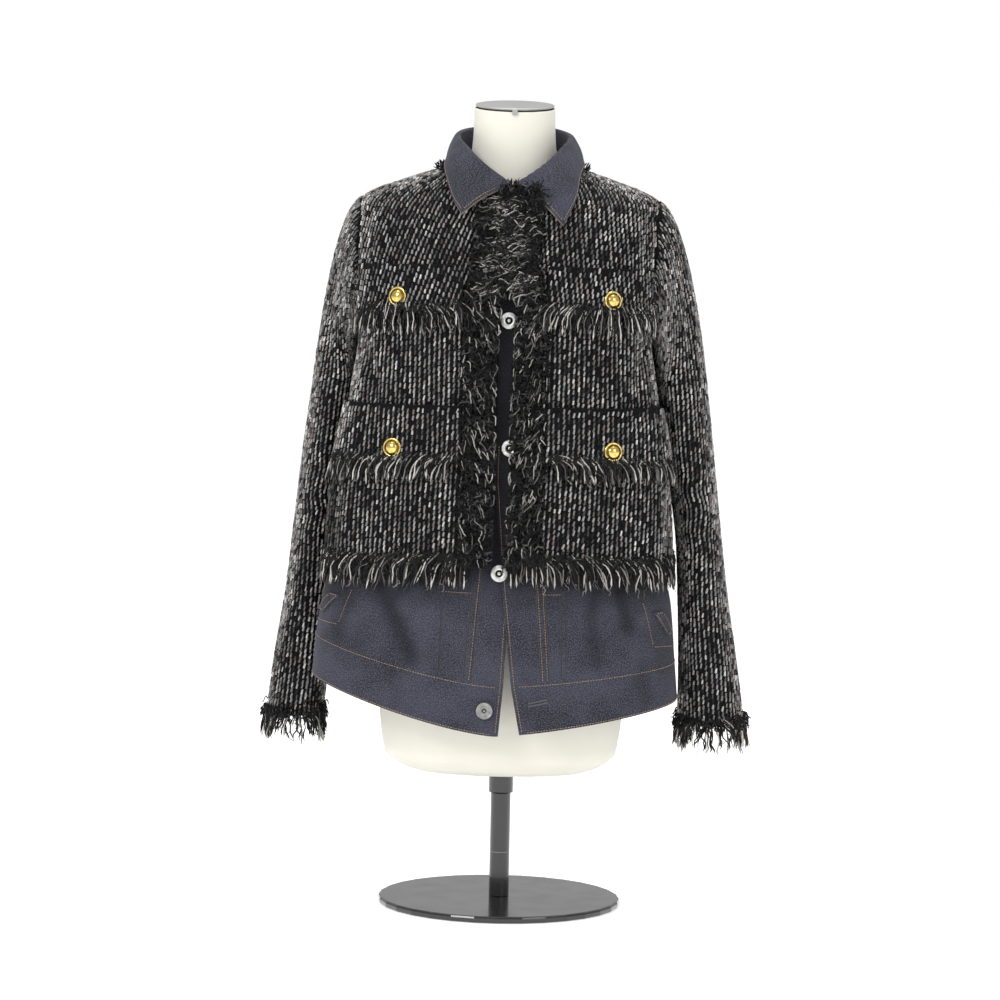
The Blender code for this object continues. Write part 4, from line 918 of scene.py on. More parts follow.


# Colour of the painted shadow lines beside the seams
SEAM_SHADOW = (0.005, 0.005, 0.008)
seam_shadow_lines = []
visible_rows = np.linspace(BODY_FOOT + 0.01, SEAM_TOP, 60)
band_lines = (BAND_STITCH_INSET, BAND_TOP - BAND_STITCH_INSET)
for side, word in SIDES:
    seam = denim_line_turn(visible_rows, DENIM_SEAMS[side])
    seam_ridge(f"denim_felled_seam_{word}", visible_rows, seam, SEAM_WIDTH)
    fold = denim_line_turn(visible_rows, DENIM_FOLD_LINES[side])
    seam_ridge(f"denim_plain_seam_{word}", visible_rows, fold, PLAIN_SEAM_WIDTH)
    # Painted shadow lines down both sides of each felled seam and beside each plain seam
    for line, offset in ((seam, SEAM_WIDTH / 2), (fold, PLAIN_SEAM_EDGE), (seam, -SEAM_WIDTH / 2)):
        turned = line + cloth_turn(denim_grid, visible_rows, -side * offset)
        lifts = denim_tuck(turned, side) + SEAM_SHADOW_LIFT
        seam_shadow_lines.append(torso_point(denim_grid, visible_rows, turned, lifts))
    for offset in SEAM_PAIRS[side]:
        line = seam + cloth_turn(denim_grid, visible_rows, offset)
        stitch_rings(visible_rows, line, side, RIDGE_STITCH_LIFT)
    to_seam = denim_line_turn(PLACKET_STITCH_RING, DENIM_FOLD_LINES[side]) - seam[-1]
    stitch_rings(PLACKET_STITCH_RING, seam[-1] + to_seam * np.linspace(0.06, 0.94, 8))
    edge_rows = np.linspace(0.03, EDGE_STITCH_TOP, 160)
    edge = denim_line_turn(edge_rows, DENIM_EDGES[side])
    inset = side * cloth_turn(denim_grid, edge_rows, EDGE_STITCH_INSET)
    stitch_rings(edge_rows, edge + inset, side)
    for ring in band_lines:
        start = denim_line_turn(ring, DENIM_EDGES[side]) + side * BAND_STITCH_START
        stitch_rings(ring, np.linspace(start, side * 0.5, 60), side)
    for (start_ring, start_turn), (end_ring, end_turn) in zip(POCKET_BAG, POCKET_BAG[1:]):
        bag_turns = side * np.linspace(start_turn, end_turn, 30)
        stitch_rings(np.linspace(start_ring, end_ring, 30), bag_turns)
    for ring in band_lines:
        stitch_rings(ring, np.linspace(side * 0.5, side * 1.0, 60))
# Painted shadow lines: thin dark cords down both sides of each felled seam and beside each plain seam
shadow_points, shadow_ways = (np.stack(parts) for parts in zip(*seam_shadow_lines))
tubes(
    "denim_painted_seam_shadows", "denim", thread_finish, shadow_points, shadow_ways, SEAM_SHADOW_RADIUS, 0.8,
    SEAM_SHADOW,
)


# ---- Side pocket welts and the buttonhole of the waistband ----
# A folded strip of denim stitched over the mouth of each slanting side pocket, and a worked
# keyhole slit near the end of the waistband's over side, bound in the same tan thread.
WELT_FOOT = (0.395, 0.3090)
WELT_HEAD = (0.352, 0.3430)
WELT_WIDTH = 0.018
WELT_LIFT = 0.0010
WELT_DOME = 0.0004
WELT_FILLING = 0.0008
WELT_STITCH_INSET = 0.0022
BUTTONHOLE = ((0.60, 0.0667), (0.65, 0.1050))  # ring and turn at its two ends
BUTTONHOLE_HALF = 0.0016
BINDING_COLOUR = (0.085, 0.083, 0.100)
BINDING_REACH = (0.35, 0.7, 1.3, 1.6)  # a bar's stops outward, in half widths of the hole
BINDING_LIFT = (0.0, 0.0006, 0.0006, -0.0002)
# The slit is a thin dark spindle: painted shade in the cut
SLIT_SHADOW = (0.010, 0.010, 0.014)
SLIT_RADIUS = 0.0009


def welt_place(share_down, share_across, side):
    """Ring and turn on a welt, from its foot up and from its nearer long edge across."""
    foot, head = (float(ring_at_height(denim_grid, height)) for _, height in (WELT_FOOT, WELT_HEAD))
    ring = foot + (head - foot) * share_down
    middle = WELT_FOOT[0] + (WELT_HEAD[0] - WELT_FOOT[0]) * share_down
    width = cloth_turn(denim_grid, ring, WELT_WIDTH)
    return ring, side * (middle + (share_across - 0.5) * width)


for side, word in SIDES:
    down, across = np.meshgrid(np.linspace(0, 1, 14), np.linspace(0, 1, 8)[::side], indexing="ij")
    ring, turn = welt_place(down, across, side)
    dome = WELT_DOME * np.sin(np.pi * across)
    outer, normals = torso_point(denim_grid, ring, turn, WELT_LIFT + DENIM + dome)
    inner = outer - normals * (DENIM + WELT_FILLING)
    welt = wall(f"side_pocket_welt_{word}", outer, inner, denim_finish_body)
    settle(welt, "denim", f"pocket_welt_{word}")
    inset = WELT_STITCH_INSET / WELT_WIDTH
    low = inset / 2
    outline = [(low, inset), (low, 1 - inset), (1 - low, 1 - inset), (1 - low, inset), (low, inset)]
    for start, end in zip(outline, outline[1:]):
        ring, turn = welt_place(*np.linspace(start, end, 40).T, side)
        points, normals = torso_point(denim_grid, ring, turn, WELT_LIFT + DENIM + 0.0001)
        stitch_along(points, normals)

hole_points, hole_ways = torso_point(denim_grid, *np.linspace(*BUTTONHOLE, 30).T, 0.0002)
hole_along = unit(np.gradient(hole_points, axis=0))
hole_across = unit(np.cross(hole_ways, hole_along))
bars = np.repeat(np.arange(1, 29), 2)
sides = np.tile([1.0, -1.0], 28)
reach = np.array(BINDING_REACH) * BUTTONHOLE_HALF
bar_paths = (
    hole_points[bars][:, None]
    + hole_across[bars][:, None] * (sides[:, None] * reach)[..., None]
    + hole_ways[bars][:, None] * np.array(BINDING_LIFT)[:, None]
)
tubes(
    "buttonhole_binding", "denim", thread_finish, bar_paths, hole_ways[bars][:, None], STITCH_RADIUS,
    0.8, BINDING_COLOUR,
)
# Painted shade in the slit: a flat, near black spindle along it
slit_stops = [0, 4, 25, 29]
tubes(
    "buttonhole_slit_shadow", "denim", thread_finish, hole_points[None, slit_stops],
    hole_ways[None, slit_stops], SLIT_RADIUS, 0.35, SLIT_SHADOW,
)


# ---- Collar ----
# A turned-out denim collar of two layers: a short stand sewn to the neckline and a leaf that
# falls over it to two points. The leaf is topstitched near its edges, which have worn pale.
COLLAR_COLUMNS = ("turn", "fold_x", "fold_y", "fold_z", "edge_x", "edge_y", "edge_z")
COLLAR_STATIONS = (
    (0.01, 0.0035, -0.088, 0.8320, 0.057, -0.119, 0.7970),
    (0.18, 0.034, -0.077, 0.8530, 0.070, -0.097, 0.8190),
    (0.36, 0.057, -0.043, 0.8745, 0.0765, -0.050, 0.8445),
    (0.52, 0.065, 0.000, 0.8850, 0.0775, 0.003, 0.8570),
    (0.70, 0.053, 0.042, 0.8920, 0.063, 0.056, 0.8660),
    (0.85, 0.030, 0.060, 0.8950, 0.035, 0.075, 0.8700),
    (1.00, 0.000, 0.066, 0.8960, 0.000, 0.081, 0.8720),
)
COLLAR_TIP_DROP = {1: 0.010, -1: 0.0}
COLLAR_FOLD_RADIUS = 0.003
COLLAR_BULGE = 0.003
COLLAR_SEAM_GAP = 0.0028
COLLAR_CLOTH = 0.0022
COLLAR_STATION_COUNT = 51
COLLAR_PROFILE_COUNT = 34
COLLAR_STITCH_INSET = 0.0019
COLLAR_STITCH_ENDS = 0.9  # in stations, from the collar's front edges
COLLAR_RIPPLE = 0.0011
WORN_EDGE_DARK = (0.130, 0.115, 0.105, 1.0)
WORN_EDGE = (0.300, 0.235, 0.165, 1.0)
WORN_EDGE_PALE = (0.42, 0.36, 0.28, 1.0)


def collar_profile(step, side):
    """Middle line of the collar's cloth at one station: up the stand, over the fold, down the leaf."""
    row = dict(zip(COLLAR_COLUMNS, smooth_row(COLLAR_STATIONS, step)))
    drop = COLLAR_TIP_DROP[side] * max(1 - row["turn"] / 0.3, 0)
    neck, normal = torso_point(denim_grid, DENIM_NECK_RING, side * row["turn"])
    foot = neck - normal * DENIM / 2 + np.array([0, 0, COLLAR_SEAM_GAP])
    fold = np.array([side * row["fold_x"], row["fold_y"], row["fold_z"]])
    edge = np.array([side * row["edge_x"], row["edge_y"], row["edge_z"] - drop])
    fall = edge - fold
    level = unit(np.array([fall[0], fall[1], 0.0]))
    radius = COLLAR_FOLD_RADIUS
    top = np.array([0, 0, 1.0])
    bulge = unit(np.cross(np.cross(unit(fall), top), unit(fall)))
    sign = 1 if bulge @ top > 0 else -1
    stops = np.array([
        foot,
        foot * 0.45 + fold * 0.55 - level * radius,
        fold - level * radius - top * radius * 0.8,
        fold - level * radius * 0.5,
        fold + level * radius * 0.6,
        fold + level * radius * 1.3 - top * radius * 0.9,
        fold * 0.45 + edge * 0.55 + bulge * sign * COLLAR_BULGE,
        edge,
    ])
    fine = np.linspace(0, len(stops) - 1, 120)
    line = np.array([smooth_row(stops, place) for place in fine])
    lengths = distance_along(line)
    even = np.linspace(0, lengths[-1], COLLAR_PROFILE_COUNT)
    return np.stack([np.interp(even, lengths, values) for values in line.T], axis=1)


collar_steps = np.linspace(0, len(COLLAR_STATIONS) - 1, COLLAR_STATION_COUNT)
collar_middle = np.array(
    [collar_profile(step, 1) for step in collar_steps]
    + [collar_profile(step, -1) for step in collar_steps[::-1][1:]]
)
ripple_along = np.linspace(0, 1, len(collar_middle))[:, None]
ripple_down = np.linspace(0, 1, COLLAR_PROFILE_COUNT)[None]
collar_normals = unit(np.cross(np.gradient(collar_middle, axis=0), np.gradient(collar_middle, axis=1)))
ripple = COLLAR_RIPPLE * np.sin(ripple_along * 41 + 2 * ripple_down) * ease((ripple_down - 0.45) * 2)
collar_middle = collar_middle + collar_normals * ripple[..., None]
half_cloth = collar_normals * COLLAR_CLOTH / 2
collar_faces = [(collar_middle + half_cloth * side).transpose(1, 0, 2) for side in (1, -1)]
collar = wall("collar_leaf_and_stand", *collar_faces, denim_finish_body)
collar.data.materials.append(denim_finish("denim_worn_edge", WORN_EDGE_DARK, WORN_EDGE, WORN_EDGE_PALE))
grid_faces = 2 * (COLLAR_PROFILE_COUNT - 1) * (len(collar_middle) - 1)
for face in collar.data.polygons[grid_faces:]:
    face.material_index = 1
settle(collar, "denim", "denim_collar")


def stitch_collar(stations, columns):
    """Stitches along a line on the leaf's outer face, given by station and by place on the profile."""
    station, column = np.broadcast_arrays(stations, columns)
    leaf = bilinear(collar_middle - half_cloth, station, column)
    stitch_along(leaf, unit(bilinear(-collar_normals, station, column)))


profile_length = np.linalg.norm(np.diff(collar_middle[COLLAR_STATION_COUNT // 2], axis=0), axis=1).sum()
profile_end = COLLAR_PROFILE_COUNT - 1
stitch_column = profile_end - COLLAR_STITCH_INSET / profile_length * profile_end
first, last = COLLAR_STITCH_ENDS, len(collar_middle) - 1 - COLLAR_STITCH_ENDS
stitch_collar(np.linspace(first, last, 400), stitch_column)
for station in (first, last):
    stitch_collar(station, np.linspace(0.45 * profile_end, stitch_column, 100))

all_paths = np.concatenate(stitch_paths)
stitch_shades = np.array(STITCH_TAN) * stitch_rng.uniform(0.75, 1.3, (len(all_paths), 1))
tubes(
    "denim_topstitching", "denim", thread_finish, all_paths, np.concatenate(stitch_ups),
    STITCH_RADIUS, 0.8, stitch_shades,
)


# ---- Cap tab ----
# A small strip of the same satin steel as the cap. It is riveted under the cap's top and bent
# down over the front of the neck's lip, to hold the cap in it.
tab_front, tab_rise = (np.array(line) for line in zip(*TAB_LINE))
tab_across = np.linspace(-TAB_HALF, TAB_HALF, 5)
tab_outer = np.array([
    [(x, -front, NECK_CUT - NECK_SLANT * front + rise) for x in tab_across]
    for front, rise in zip(tab_front[::-1], tab_rise[::-1])
])
tab_inner = tab_outer - grid_normals(tab_outer, False) * TAB_METAL
tab = wall("cap_tab_bent", tab_outer, tab_inner, cap_finish)
settle(tab, "cap_metal", "cap_tab")


# ---- Silver tack buttons ----
# Four stamped steel tack buttons down the denim front and on the waistband: a raised rim, a
# hollow ring and a small dot, riveted through the cloth. The waistband's is duller and flatter.
SILVER_RADIUS = 0.0096
SILVER_PROFILE = (
    (0.90, -0.0002), (0.97, 0.0003), (1.00, 0.0011), (0.98, 0.0018), (0.91, 0.0022), (0.84, 0.0020),
    (0.78, 0.0023), (0.62, 0.0025), (0.50, 0.0023), (0.43, 0.0017), (0.36, 0.0008), (0.27, 0.0008),
    (0.20, 0.0014), (0.14, 0.0018), (0.04, 0.0019),
)
WAIST_PROFILE = (
    (0.90, -0.0002), (0.97, 0.0003), (1.00, 0.0011), (0.98, 0.0018), (0.92, 0.0022), (0.84, 0.0019),
    (0.70, 0.0016), (0.50, 0.0017), (0.30, 0.0019), (0.24, 0.0014), (0.17, 0.0013), (0.12, 0.0017),
    (0.03, 0.0018),
)
BUTTON_SIDES = 40
SILVER_DEPTH = 0.0024
# The silver buttons' hollow ring and the waistband button's groove are painted dark, as painted shade
SILVER_HOLLOW = (0.22, 0.44)  # its inner and outer edge, as shares of the radius
WAIST_GROOVE = (0.13, 0.27)


def metal(name, bright, dull, roughness, grime):
    made = new_finish(name, {"Metallic": 1.0})
    place = object_place(made)
    cloud = noise(made, place, 260.0, 4.0, 0.6)
    shade(made, {
        "Base Color": add_ramp(made, cloud, [(0.38, (*dull, 1.0)), (0.62, (*bright, 1.0))]),
        "Roughness": add_ramp(made, cloud, [(0.3, grey(grime)), (0.7, grey(roughness))]),
        "Normal": bump(made, noise(made, place, 1400.0), 0.00003),
    })
    return made


def set_buttons(node_names, slot, grid, radius, profile, depth, face_metal, groove_shade, groove):
    """Turns a button, paints shade on its groove between two shares of the radius, and sets a copy
    of it at each node, facing out of the cloth there."""
    pattern = turned_disc("pattern", radius, profile, BUTTON_SIDES)
    wear(pattern, face_metal)
    darken_between(pattern, groove_shade, radius * groove[0], radius * groove[1])
    for node_name in node_names:
        middle = np.mean([list(corner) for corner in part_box(node_name)], axis=0)
        gaps = np.linalg.norm(grid["points"] - middle, axis=2)
        facing = grid["normals"][np.unravel_index(gaps.argmin(), gaps.shape)]
        across = unit(np.cross([0, 0, 1.0], facing))
        turn = Matrix(np.stack([across, np.cross(facing, across), facing], axis=1).tolist()).to_4x4()
        made = put_in(f"{node_name}_turned", pattern.data.copy())
        made.data.transform(Matrix.Translation(Vector(middle - facing * depth / 2)) @ turn)
        settle(made, slot, node_name)
    bpy.data.objects.remove(pattern)


# Painted shade: the hollow ring is coloured a near black metal
set_buttons(
    [f"silver_button_{word}" for word in ("top", "middle", "low")], "silver", denim_grid,
    SILVER_RADIUS, SILVER_PROFILE, SILVER_DEPTH,
    metal("silver_plate", (0.80, 0.80, 0.78), (0.52, 0.52, 0.50), 0.36, 0.48),
    metal("silver_hollow_painted_shade", (0.030, 0.030, 0.032), (0.010, 0.010, 0.011), 0.5, 0.6), SILVER_HOLLOW,
)
# Painted shade: the groove is coloured a dark metal
set_buttons(
    ["silver_button_waist"], "silver", denim_grid, SILVER_RADIUS, WAIST_PROFILE, SILVER_DEPTH,
    metal("worn_silver", (0.34, 0.34, 0.33), (0.25, 0.25, 0.24), 0.42, 0.55),
    metal("waist_groove_painted_shade", (0.10, 0.10, 0.10), (0.05, 0.05, 0.05), 0.5, 0.6), WAIST_GROOVE,
)


# ---- Tweed body: two fronts and a back ----
# Boucle tweed cut collarless, each panel one sheet: a knobbly black ground with white, grey and
# beige slub yarns standing on it in close columns along the grain. Panels meet in plain seams.
TWEED = 0.0026  # thickness of the cloth
CLOTH_STEP = 0.004  # metres between the places of a cloth's tables
FRONT_EDGE_LOW = 0.034
FRONT_EDGE_NECK = 0.024
FRONT_EDGE_CURVE = 3
TWEED_HOLE = (UNDERARM_RING, SHOULDER_RING, ARMHOLE_WIDTH)
TWEED_ROW_STEP = 0.10
TWEED_HOLE_ROWS = 60
TWEED_FRONT_COLUMNS = 36
TWEED_BACK_HALF_COLUMNS = 38
TWEED_MARGIN = 0.0014  # bare cloth beside a cut edge
PANEL_TOP = NECK_RING - 0.03
SLUB_PITCH = 0.0056
SLUB_REPEAT = 0.0060
SLUB_LENGTH = 0.0070
SLUB_RADIUS = 0.00158
SLUB_TILT = 0.20  # each slub leans a little off its column, so that its ends pass the next ones
SLUB_SINK = 0.0009
SLUB_RISE = 0.0002
SLUBS_KEPT = 0.97
# Painted shade: the fronts' yarns are darker where the sleeves hang close against them
BESIDE_SLEEVE = (0.176, 0.196)
BESIDE_SHADE = 0.28
BESIDE_BELOW = 0.690
COLUMN_SWAY = 0.0004
COLUMN_WAVE = 0.085
TWEED_CREASES = (
    (((3.9, -0.350), (3.2, -0.300), (2.3, -0.285)), 0.0100, 0.0026),
    (((4.2, 0.355), (3.3, 0.315), (2.4, 0.300)), 0.0100, 0.0024),
    (((1.6, -0.385), (0.9, -0.372), (0.1, -0.380)), 0.0110, 0.0026),
    (((1.5, 0.400), (0.8, 0.388), (0.1, 0.396)), 0.0110, 0.0024),
    (((7.2, -0.365), (6.4, -0.335), (5.6, -0.330)), 0.0085, 0.0018),
    (((7.3, 0.360), (6.5, 0.340), (5.7, 0.336)), 0.0085, 0.0018),
    (((7.0, 0.640), (5.9, 0.690), (4.9, 0.705)), 0.0100, 0.0026),
    (((7.1, -0.645), (6.0, -0.680), (4.8, -0.700)), 0.0100, 0.0024),
    (((4.3, 0.640), (3.4, 0.690), (2.4, 0.715)), 0.0110, 0.0028),
    (((4.4, -0.635), (3.3, -0.690), (2.2, -0.710)), 0.0110, 0.0030),
    (((2.3, 0.850), (1.2, 0.842), (0.1, 0.850)), 0.0130, 0.0032),
    (((2.5, -0.870), (1.3, -0.882), (0.1, -0.874)), 0.0130, 0.0030),
    (((8.6, 0.990), (7.8, 1.000), (7.1, 0.985)), 0.0100, 0.0016),
)
tweed_grid = torso_grid(TWEED_RINGS)
press_creases(tweed_grid, TWEED_CREASES, torso_place)

# The ground: black looped yarn with a little charcoal in it
tweed_finish = new_finish("boucle_ground", {"Roughness": 0.95, "Specular IOR Level": 0.15})
place = object_place(tweed_finish)
cells = {"Vector": place, "Scale": 330.0}
loops = add_node(tweed_finish, "ShaderNodeTexVoronoi", cells).outputs["Distance"]
curls = noise(tweed_finish, place, 420.0, 3.0, 0.65)
shade(tweed_finish, {
    "Base Color": add_ramp(tweed_finish, curls, [
        (0.36, (0.0015, 0.0015, 0.002, 1)), (0.56, (0.005, 0.005, 0.006, 1)), (0.78, grey(0.030)),
    ]),
    "Normal": bump(tweed_finish, loops, 0.0016, 0.9, bump(tweed_finish, curls, 0.0010, 0.8)),
})
# The yarns: each takes its own colour, with soft fibre over it
yarn_finish = new_finish("wool_yarn", {"Roughness": 0.92, "Specular IOR Level": 0.15})
place = object_place(yarn_finish)
fibre = noise(yarn_finish, place, 900.0, 3.0, 0.7)
soft = add_node(yarn_finish, "ShaderNodeMapRange", {
    "Value": fibre, "From Min": 0.3, "From Max": 0.7, "To Min": 0.62, "To Max": 1.22,
}).outputs[0]
shade(yarn_finish, {
    "Base Color": dimmed(yarn_finish, painted(yarn_finish, "yarn"), soft),
    "Normal": bump(yarn_finish, fibre, 0.0006, 0.8),
})


def measured_cloth(points, normals, zero):
    """Tables from flat cloth coordinates, round from a line and up from the hem, to rows and
    columns."""
    rows, columns = points.shape[:2]
    around = distance_along(points, 1)
    around = around - around[:, zero][:, None]
    half = max(-around[:, 0].min(), around[:, -1].max())
    across = np.arange(-half - CLOTH_STEP, half + 2 * CLOTH_STEP, CLOTH_STEP)
    column_at = np.array([np.interp(across, line, np.arange(columns)) for line in around])
    row_numbers = np.arange(rows)[:, None] + 0 * column_at
    climb = distance_along(bilinear(points, row_numbers, column_at))
    up = np.arange(0, climb.max() + CLOTH_STEP, CLOTH_STEP)
    row_at = np.array([np.interp(up, climb[:, k], np.arange(rows)) for k in range(len(across))])
    return {
        "points": points, "normals": normals, "start": across[0], "column_at": column_at,
        "row_at": row_at, "climb": climb, "half": half, "top": climb.max(),
    }


def rows_and_columns(cloth, u, v):
    place = (u - cloth["start"]) / CLOTH_STEP
    row = bilinear(cloth["row_at"], place, v / CLOTH_STEP)
    return row, bilinear(cloth["column_at"], row, place)


def climb_to(cloth, row, u):
    """Height along the cloth of a row, at that distance round from the cloth's line."""
    return bilinear(cloth["climb"], row, (u - cloth["start"]) / CLOTH_STEP)


def on_cloth(cloth, u, v, lift):
    """Points at flat cloth coordinates. What lies below the hem hangs straight down from it."""
    row, column = rows_and_columns(cloth, u, np.maximum(v, 0))
    points = bilinear(cloth["points"], row, column)
    normals = unit(bilinear(cloth["normals"], row, column))
    level = normals * np.array([1.0, 1.0, 0.0])
    ways = np.where((v < 0)[..., None], unit(level), normals)
    drop = np.maximum(-v, 0)[..., None] * np.array([0.0, 0.0, 1.0])
    return points + ways * lift[..., None] - drop, ways


# The front's and the back's cloth each reach a little past the side seams
FRONT_CLOTH_TO = 0.70
BACK_CLOTH_FROM = 0.30
grid_turns = tweed_grid["turns"]
front_columns = np.flatnonzero(np.abs(grid_turns) <= FRONT_CLOTH_TO)
front_turns = grid_turns[front_columns]
later = np.flatnonzero(grid_turns >= BACK_CLOTH_FROM)
earlier = np.flatnonzero(grid_turns <= -BACK_CLOTH_FROM)[1:]
back_columns_at = np.concatenate([later, earlier])
back_turns = np.concatenate([grid_turns[later], grid_turns[earlier] + 2])
front_cloth, back_cloth = (
    measured_cloth(tweed_grid["points"][:, columns], tweed_grid["normals"][:, columns], zero)
    for columns, zero in ((front_columns, len(front_columns) // 2), (back_columns_at, len(later) - 1))
)
for cloth, turns in ((front_cloth, front_turns), (back_cloth, back_turns - 1)):
    seam_column = np.interp(0.5, turns, np.arange(len(turns)))
    places = np.arange(len(cloth["column_at"][0])) * CLOTH_STEP + cloth["start"]
    cloth["hem_side"] = float(np.interp(seam_column, cloth["column_at"][0], places))


def front_near(ring, side):
    """Signed turn of the woven front edge."""
    heights = at_ring(tweed_grid, "fronts", ring)
    low, high = TWEED_RINGS[0][4], TWEED_RINGS[NECK_RING][4]
    share = np.clip((heights - low) / (high - low), 0, 1)
    distance = FRONT_EDGE_LOW + (FRONT_EDGE_NECK - FRONT_EDGE_LOW) * share ** FRONT_EDGE_CURVE
    return turn_at(tweed_grid, ring, side * distance)


def panel_far(ring):
    return armhole_far(ring, *TWEED_HOLE)


YARN_SHADES = np.array([
    (0.580, 0.565, 0.545), (0.360, 0.352, 0.345), (0.200, 0.197, 0.196), (0.085, 0.084, 0.086),
    (0.025, 0.025, 0.027), (0.300, 0.250, 0.235), (0.190, 0.148, 0.140),
])
YARN_SHARES = np.array([0.11, 0.26, 0.30, 0.15, 0.08, 0.06, 0.04])
PATCH_BROAD = 0.18  # how much paler and darker the cloth is from one patch to the next
PATCH_FINE = 0.12


def spindles(cloth, u, v, lean, length, radius, rise, sink):
    """Four-point paths of beads that lie on the cloth, their tips sunk into it."""
    run = length[:, None] * np.array([-0.5, -0.32, 0.32, 0.5])
    us = u[:, None] + run * np.sin(lean)[:, None]
    vs = v[:, None] + run * np.cos(lean)[:, None]
    lifts = rise[:, None] + np.array([-1.0, 0.3, 0.3, -1.0]) * sink
    paths, ways = on_cloth(cloth, us, np.maximum(vs, 0.0005), lifts)
    bulge = radius[:, None] * np.array([1.0, 0.9])
    return paths, ways, bulge


def slub_mesh(name, cloth, keep, seed, lean=None, across=None, low_v=0.002, rise_of=None):
    """The slub yarns that float on one piece of tweed, end to end in columns along the grain."""
    rng = np.random.default_rng(seed)
    low_u, high_u = across or (-cloth["half"], cloth["half"])
    columns = np.arange(math.ceil(low_u / SLUB_PITCH), math.floor(high_u / SLUB_PITCH) + 1)
    steps = np.arange(int((cloth["top"] - low_v) / SLUB_REPEAT) + 1)
    shape = (len(columns), len(steps))
    v = low_v + (steps + rng.random((len(columns), 1))) * SLUB_REPEAT + rng.normal(0, 0.0005, shape)
    sway = COLUMN_SWAY * np.sin(v * 2 * math.pi / COLUMN_WAVE + rng.uniform(0, 6, (len(columns), 1)))
    u = (columns[:, None] * SLUB_PITCH + sway + rng.normal(0, 0.00018, shape)).ravel()
    v = v.ravel()
    if lean:
        u = u + lean(u, v)
    row, column = rows_and_columns(cloth, u, v)
    kept = keep(row, column) & (rng.random(len(u)) < SLUBS_KEPT) & (v < climb_to(cloth, row, u) + 0.001)
    u, v, row = u[kept], v[kept], row[kept]
    count = len(u)
    rise = SLUB_RISE + (rise_of(row) if rise_of else 0.0) + rng.normal(0.0004, 0.00015, count)
    numbers = rng.choice(len(YARN_SHADES), count, p=YARN_SHARES)
    broad, fine = 83 * u + 2 * np.sin(31 * v) + seed, 57 * v + 40 * u
    patches = 1 + PATCH_BROAD * np.sin(broad) + PATCH_FINE * np.sin(fine)
    colours = YARN_SHADES[numbers] * (rng.uniform(0.85, 1.12, count) * patches)[:, None]
    paths, ways, bulges = spindles(
        cloth, u, v, rng.normal(SLUB_TILT, 0.07, count), SLUB_LENGTH * rng.uniform(0.86, 1.14, count),
        SLUB_RADIUS * rng.uniform(0.80, 1.14, count), rise, SLUB_SINK,
    )
    # Painted shade on the fronts' yarns beside the hanging sleeves
    middle = paths.mean(axis=1)
    sleeve_shade = np.interp(np.abs(middle[:, 0]), BESIDE_SLEEVE, (1.0, BESIDE_SHADE))
    sleeve_shade[(middle[:, 2] > BESIDE_BELOW) | (middle[:, 1] > 0) | ("front" not in name)] = 1.0
    shades = colours * sleeve_shade[:, None]
    return tubes(name, "tweed", yarn_finish, paths, ways, bulges, 0.80, shades, 3)


tweed_rows = rows_past_hole(*TWEED_HOLE[:2], 0.0, NECK_RING, TWEED_ROW_STEP, TWEED_HOLE_ROWS)
LEAN = {1: 0.13, -1: 0.36}
LEAN_FROM = 0.27


def front_lean(side):
    """How far a column of slubs on that front leans toward the centre, higher up."""
    return lambda u, v: -side * LEAN[side] * np.maximum(v - LEAN_FROM, 0)


def turn_of(column, turns):
    """The turn of a column of a cloth whose columns have those turns."""
    return turns[0] + column * (turns[1] - turns[0])


for side, word in SIDES:
    far = side * (0.5 - panel_far(tweed_rows))
    turns = columns_between(front_near(tweed_rows, side), far, TWEED_FRONT_COLUMNS)[:, ::side]
    outer, normals = torso_point(tweed_grid, tweed_rows[:, None], turns)
    panel = wall(f"tweed_{word}_front", outer, outer - normals * TWEED, tweed_finish)
    settle(panel, "tweed", f"tweed_front_{word}")
    ring_table = np.arange(0, NECK_RING + 0.01, 0.1)
    near_table = np.abs(front_near(ring_table, side))

    def on_front(row, column, side=side, ring_table=ring_table, near_table=near_table):
        ring, turn = row * GRID_STEP, side * turn_of(column, front_turns)
        margin = cloth_turn(tweed_grid, ring, TWEED_MARGIN)
        past_edge = turn > np.interp(ring, ring_table, near_table) + margin
        return past_edge & (turn < 0.5 - panel_far(ring) - margin) & (ring < PANEL_TOP)

    slubs = slub_mesh(
        f"tweed_{word}_front_yarns", front_cloth, on_front, 100 + side, front_lean(side),
        sorted((0.0, side * front_cloth["half"])),
    )

turns = back_columns(0.5 + panel_far(tweed_rows), TWEED_BACK_HALF_COLUMNS)
outer, normals = torso_point(tweed_grid, tweed_rows[:, None], turns)
panel = wall("tweed_whole_back", outer, outer - normals * TWEED, tweed_finish)
settle(panel, "tweed", "tweed_back")


def on_back(row, column):
    ring, turn = row * GRID_STEP, turn_of(column, back_turns)
    turn = np.where(turn > 1, 2 - turn, turn)
    edge = 0.5 + panel_far(ring) + cloth_turn(tweed_grid, ring, TWEED_MARGIN)
    return (turn > edge) & (ring < PANEL_TOP)


slubs = slub_mesh("tweed_whole_back_yarns", back_cloth, on_back, 102)


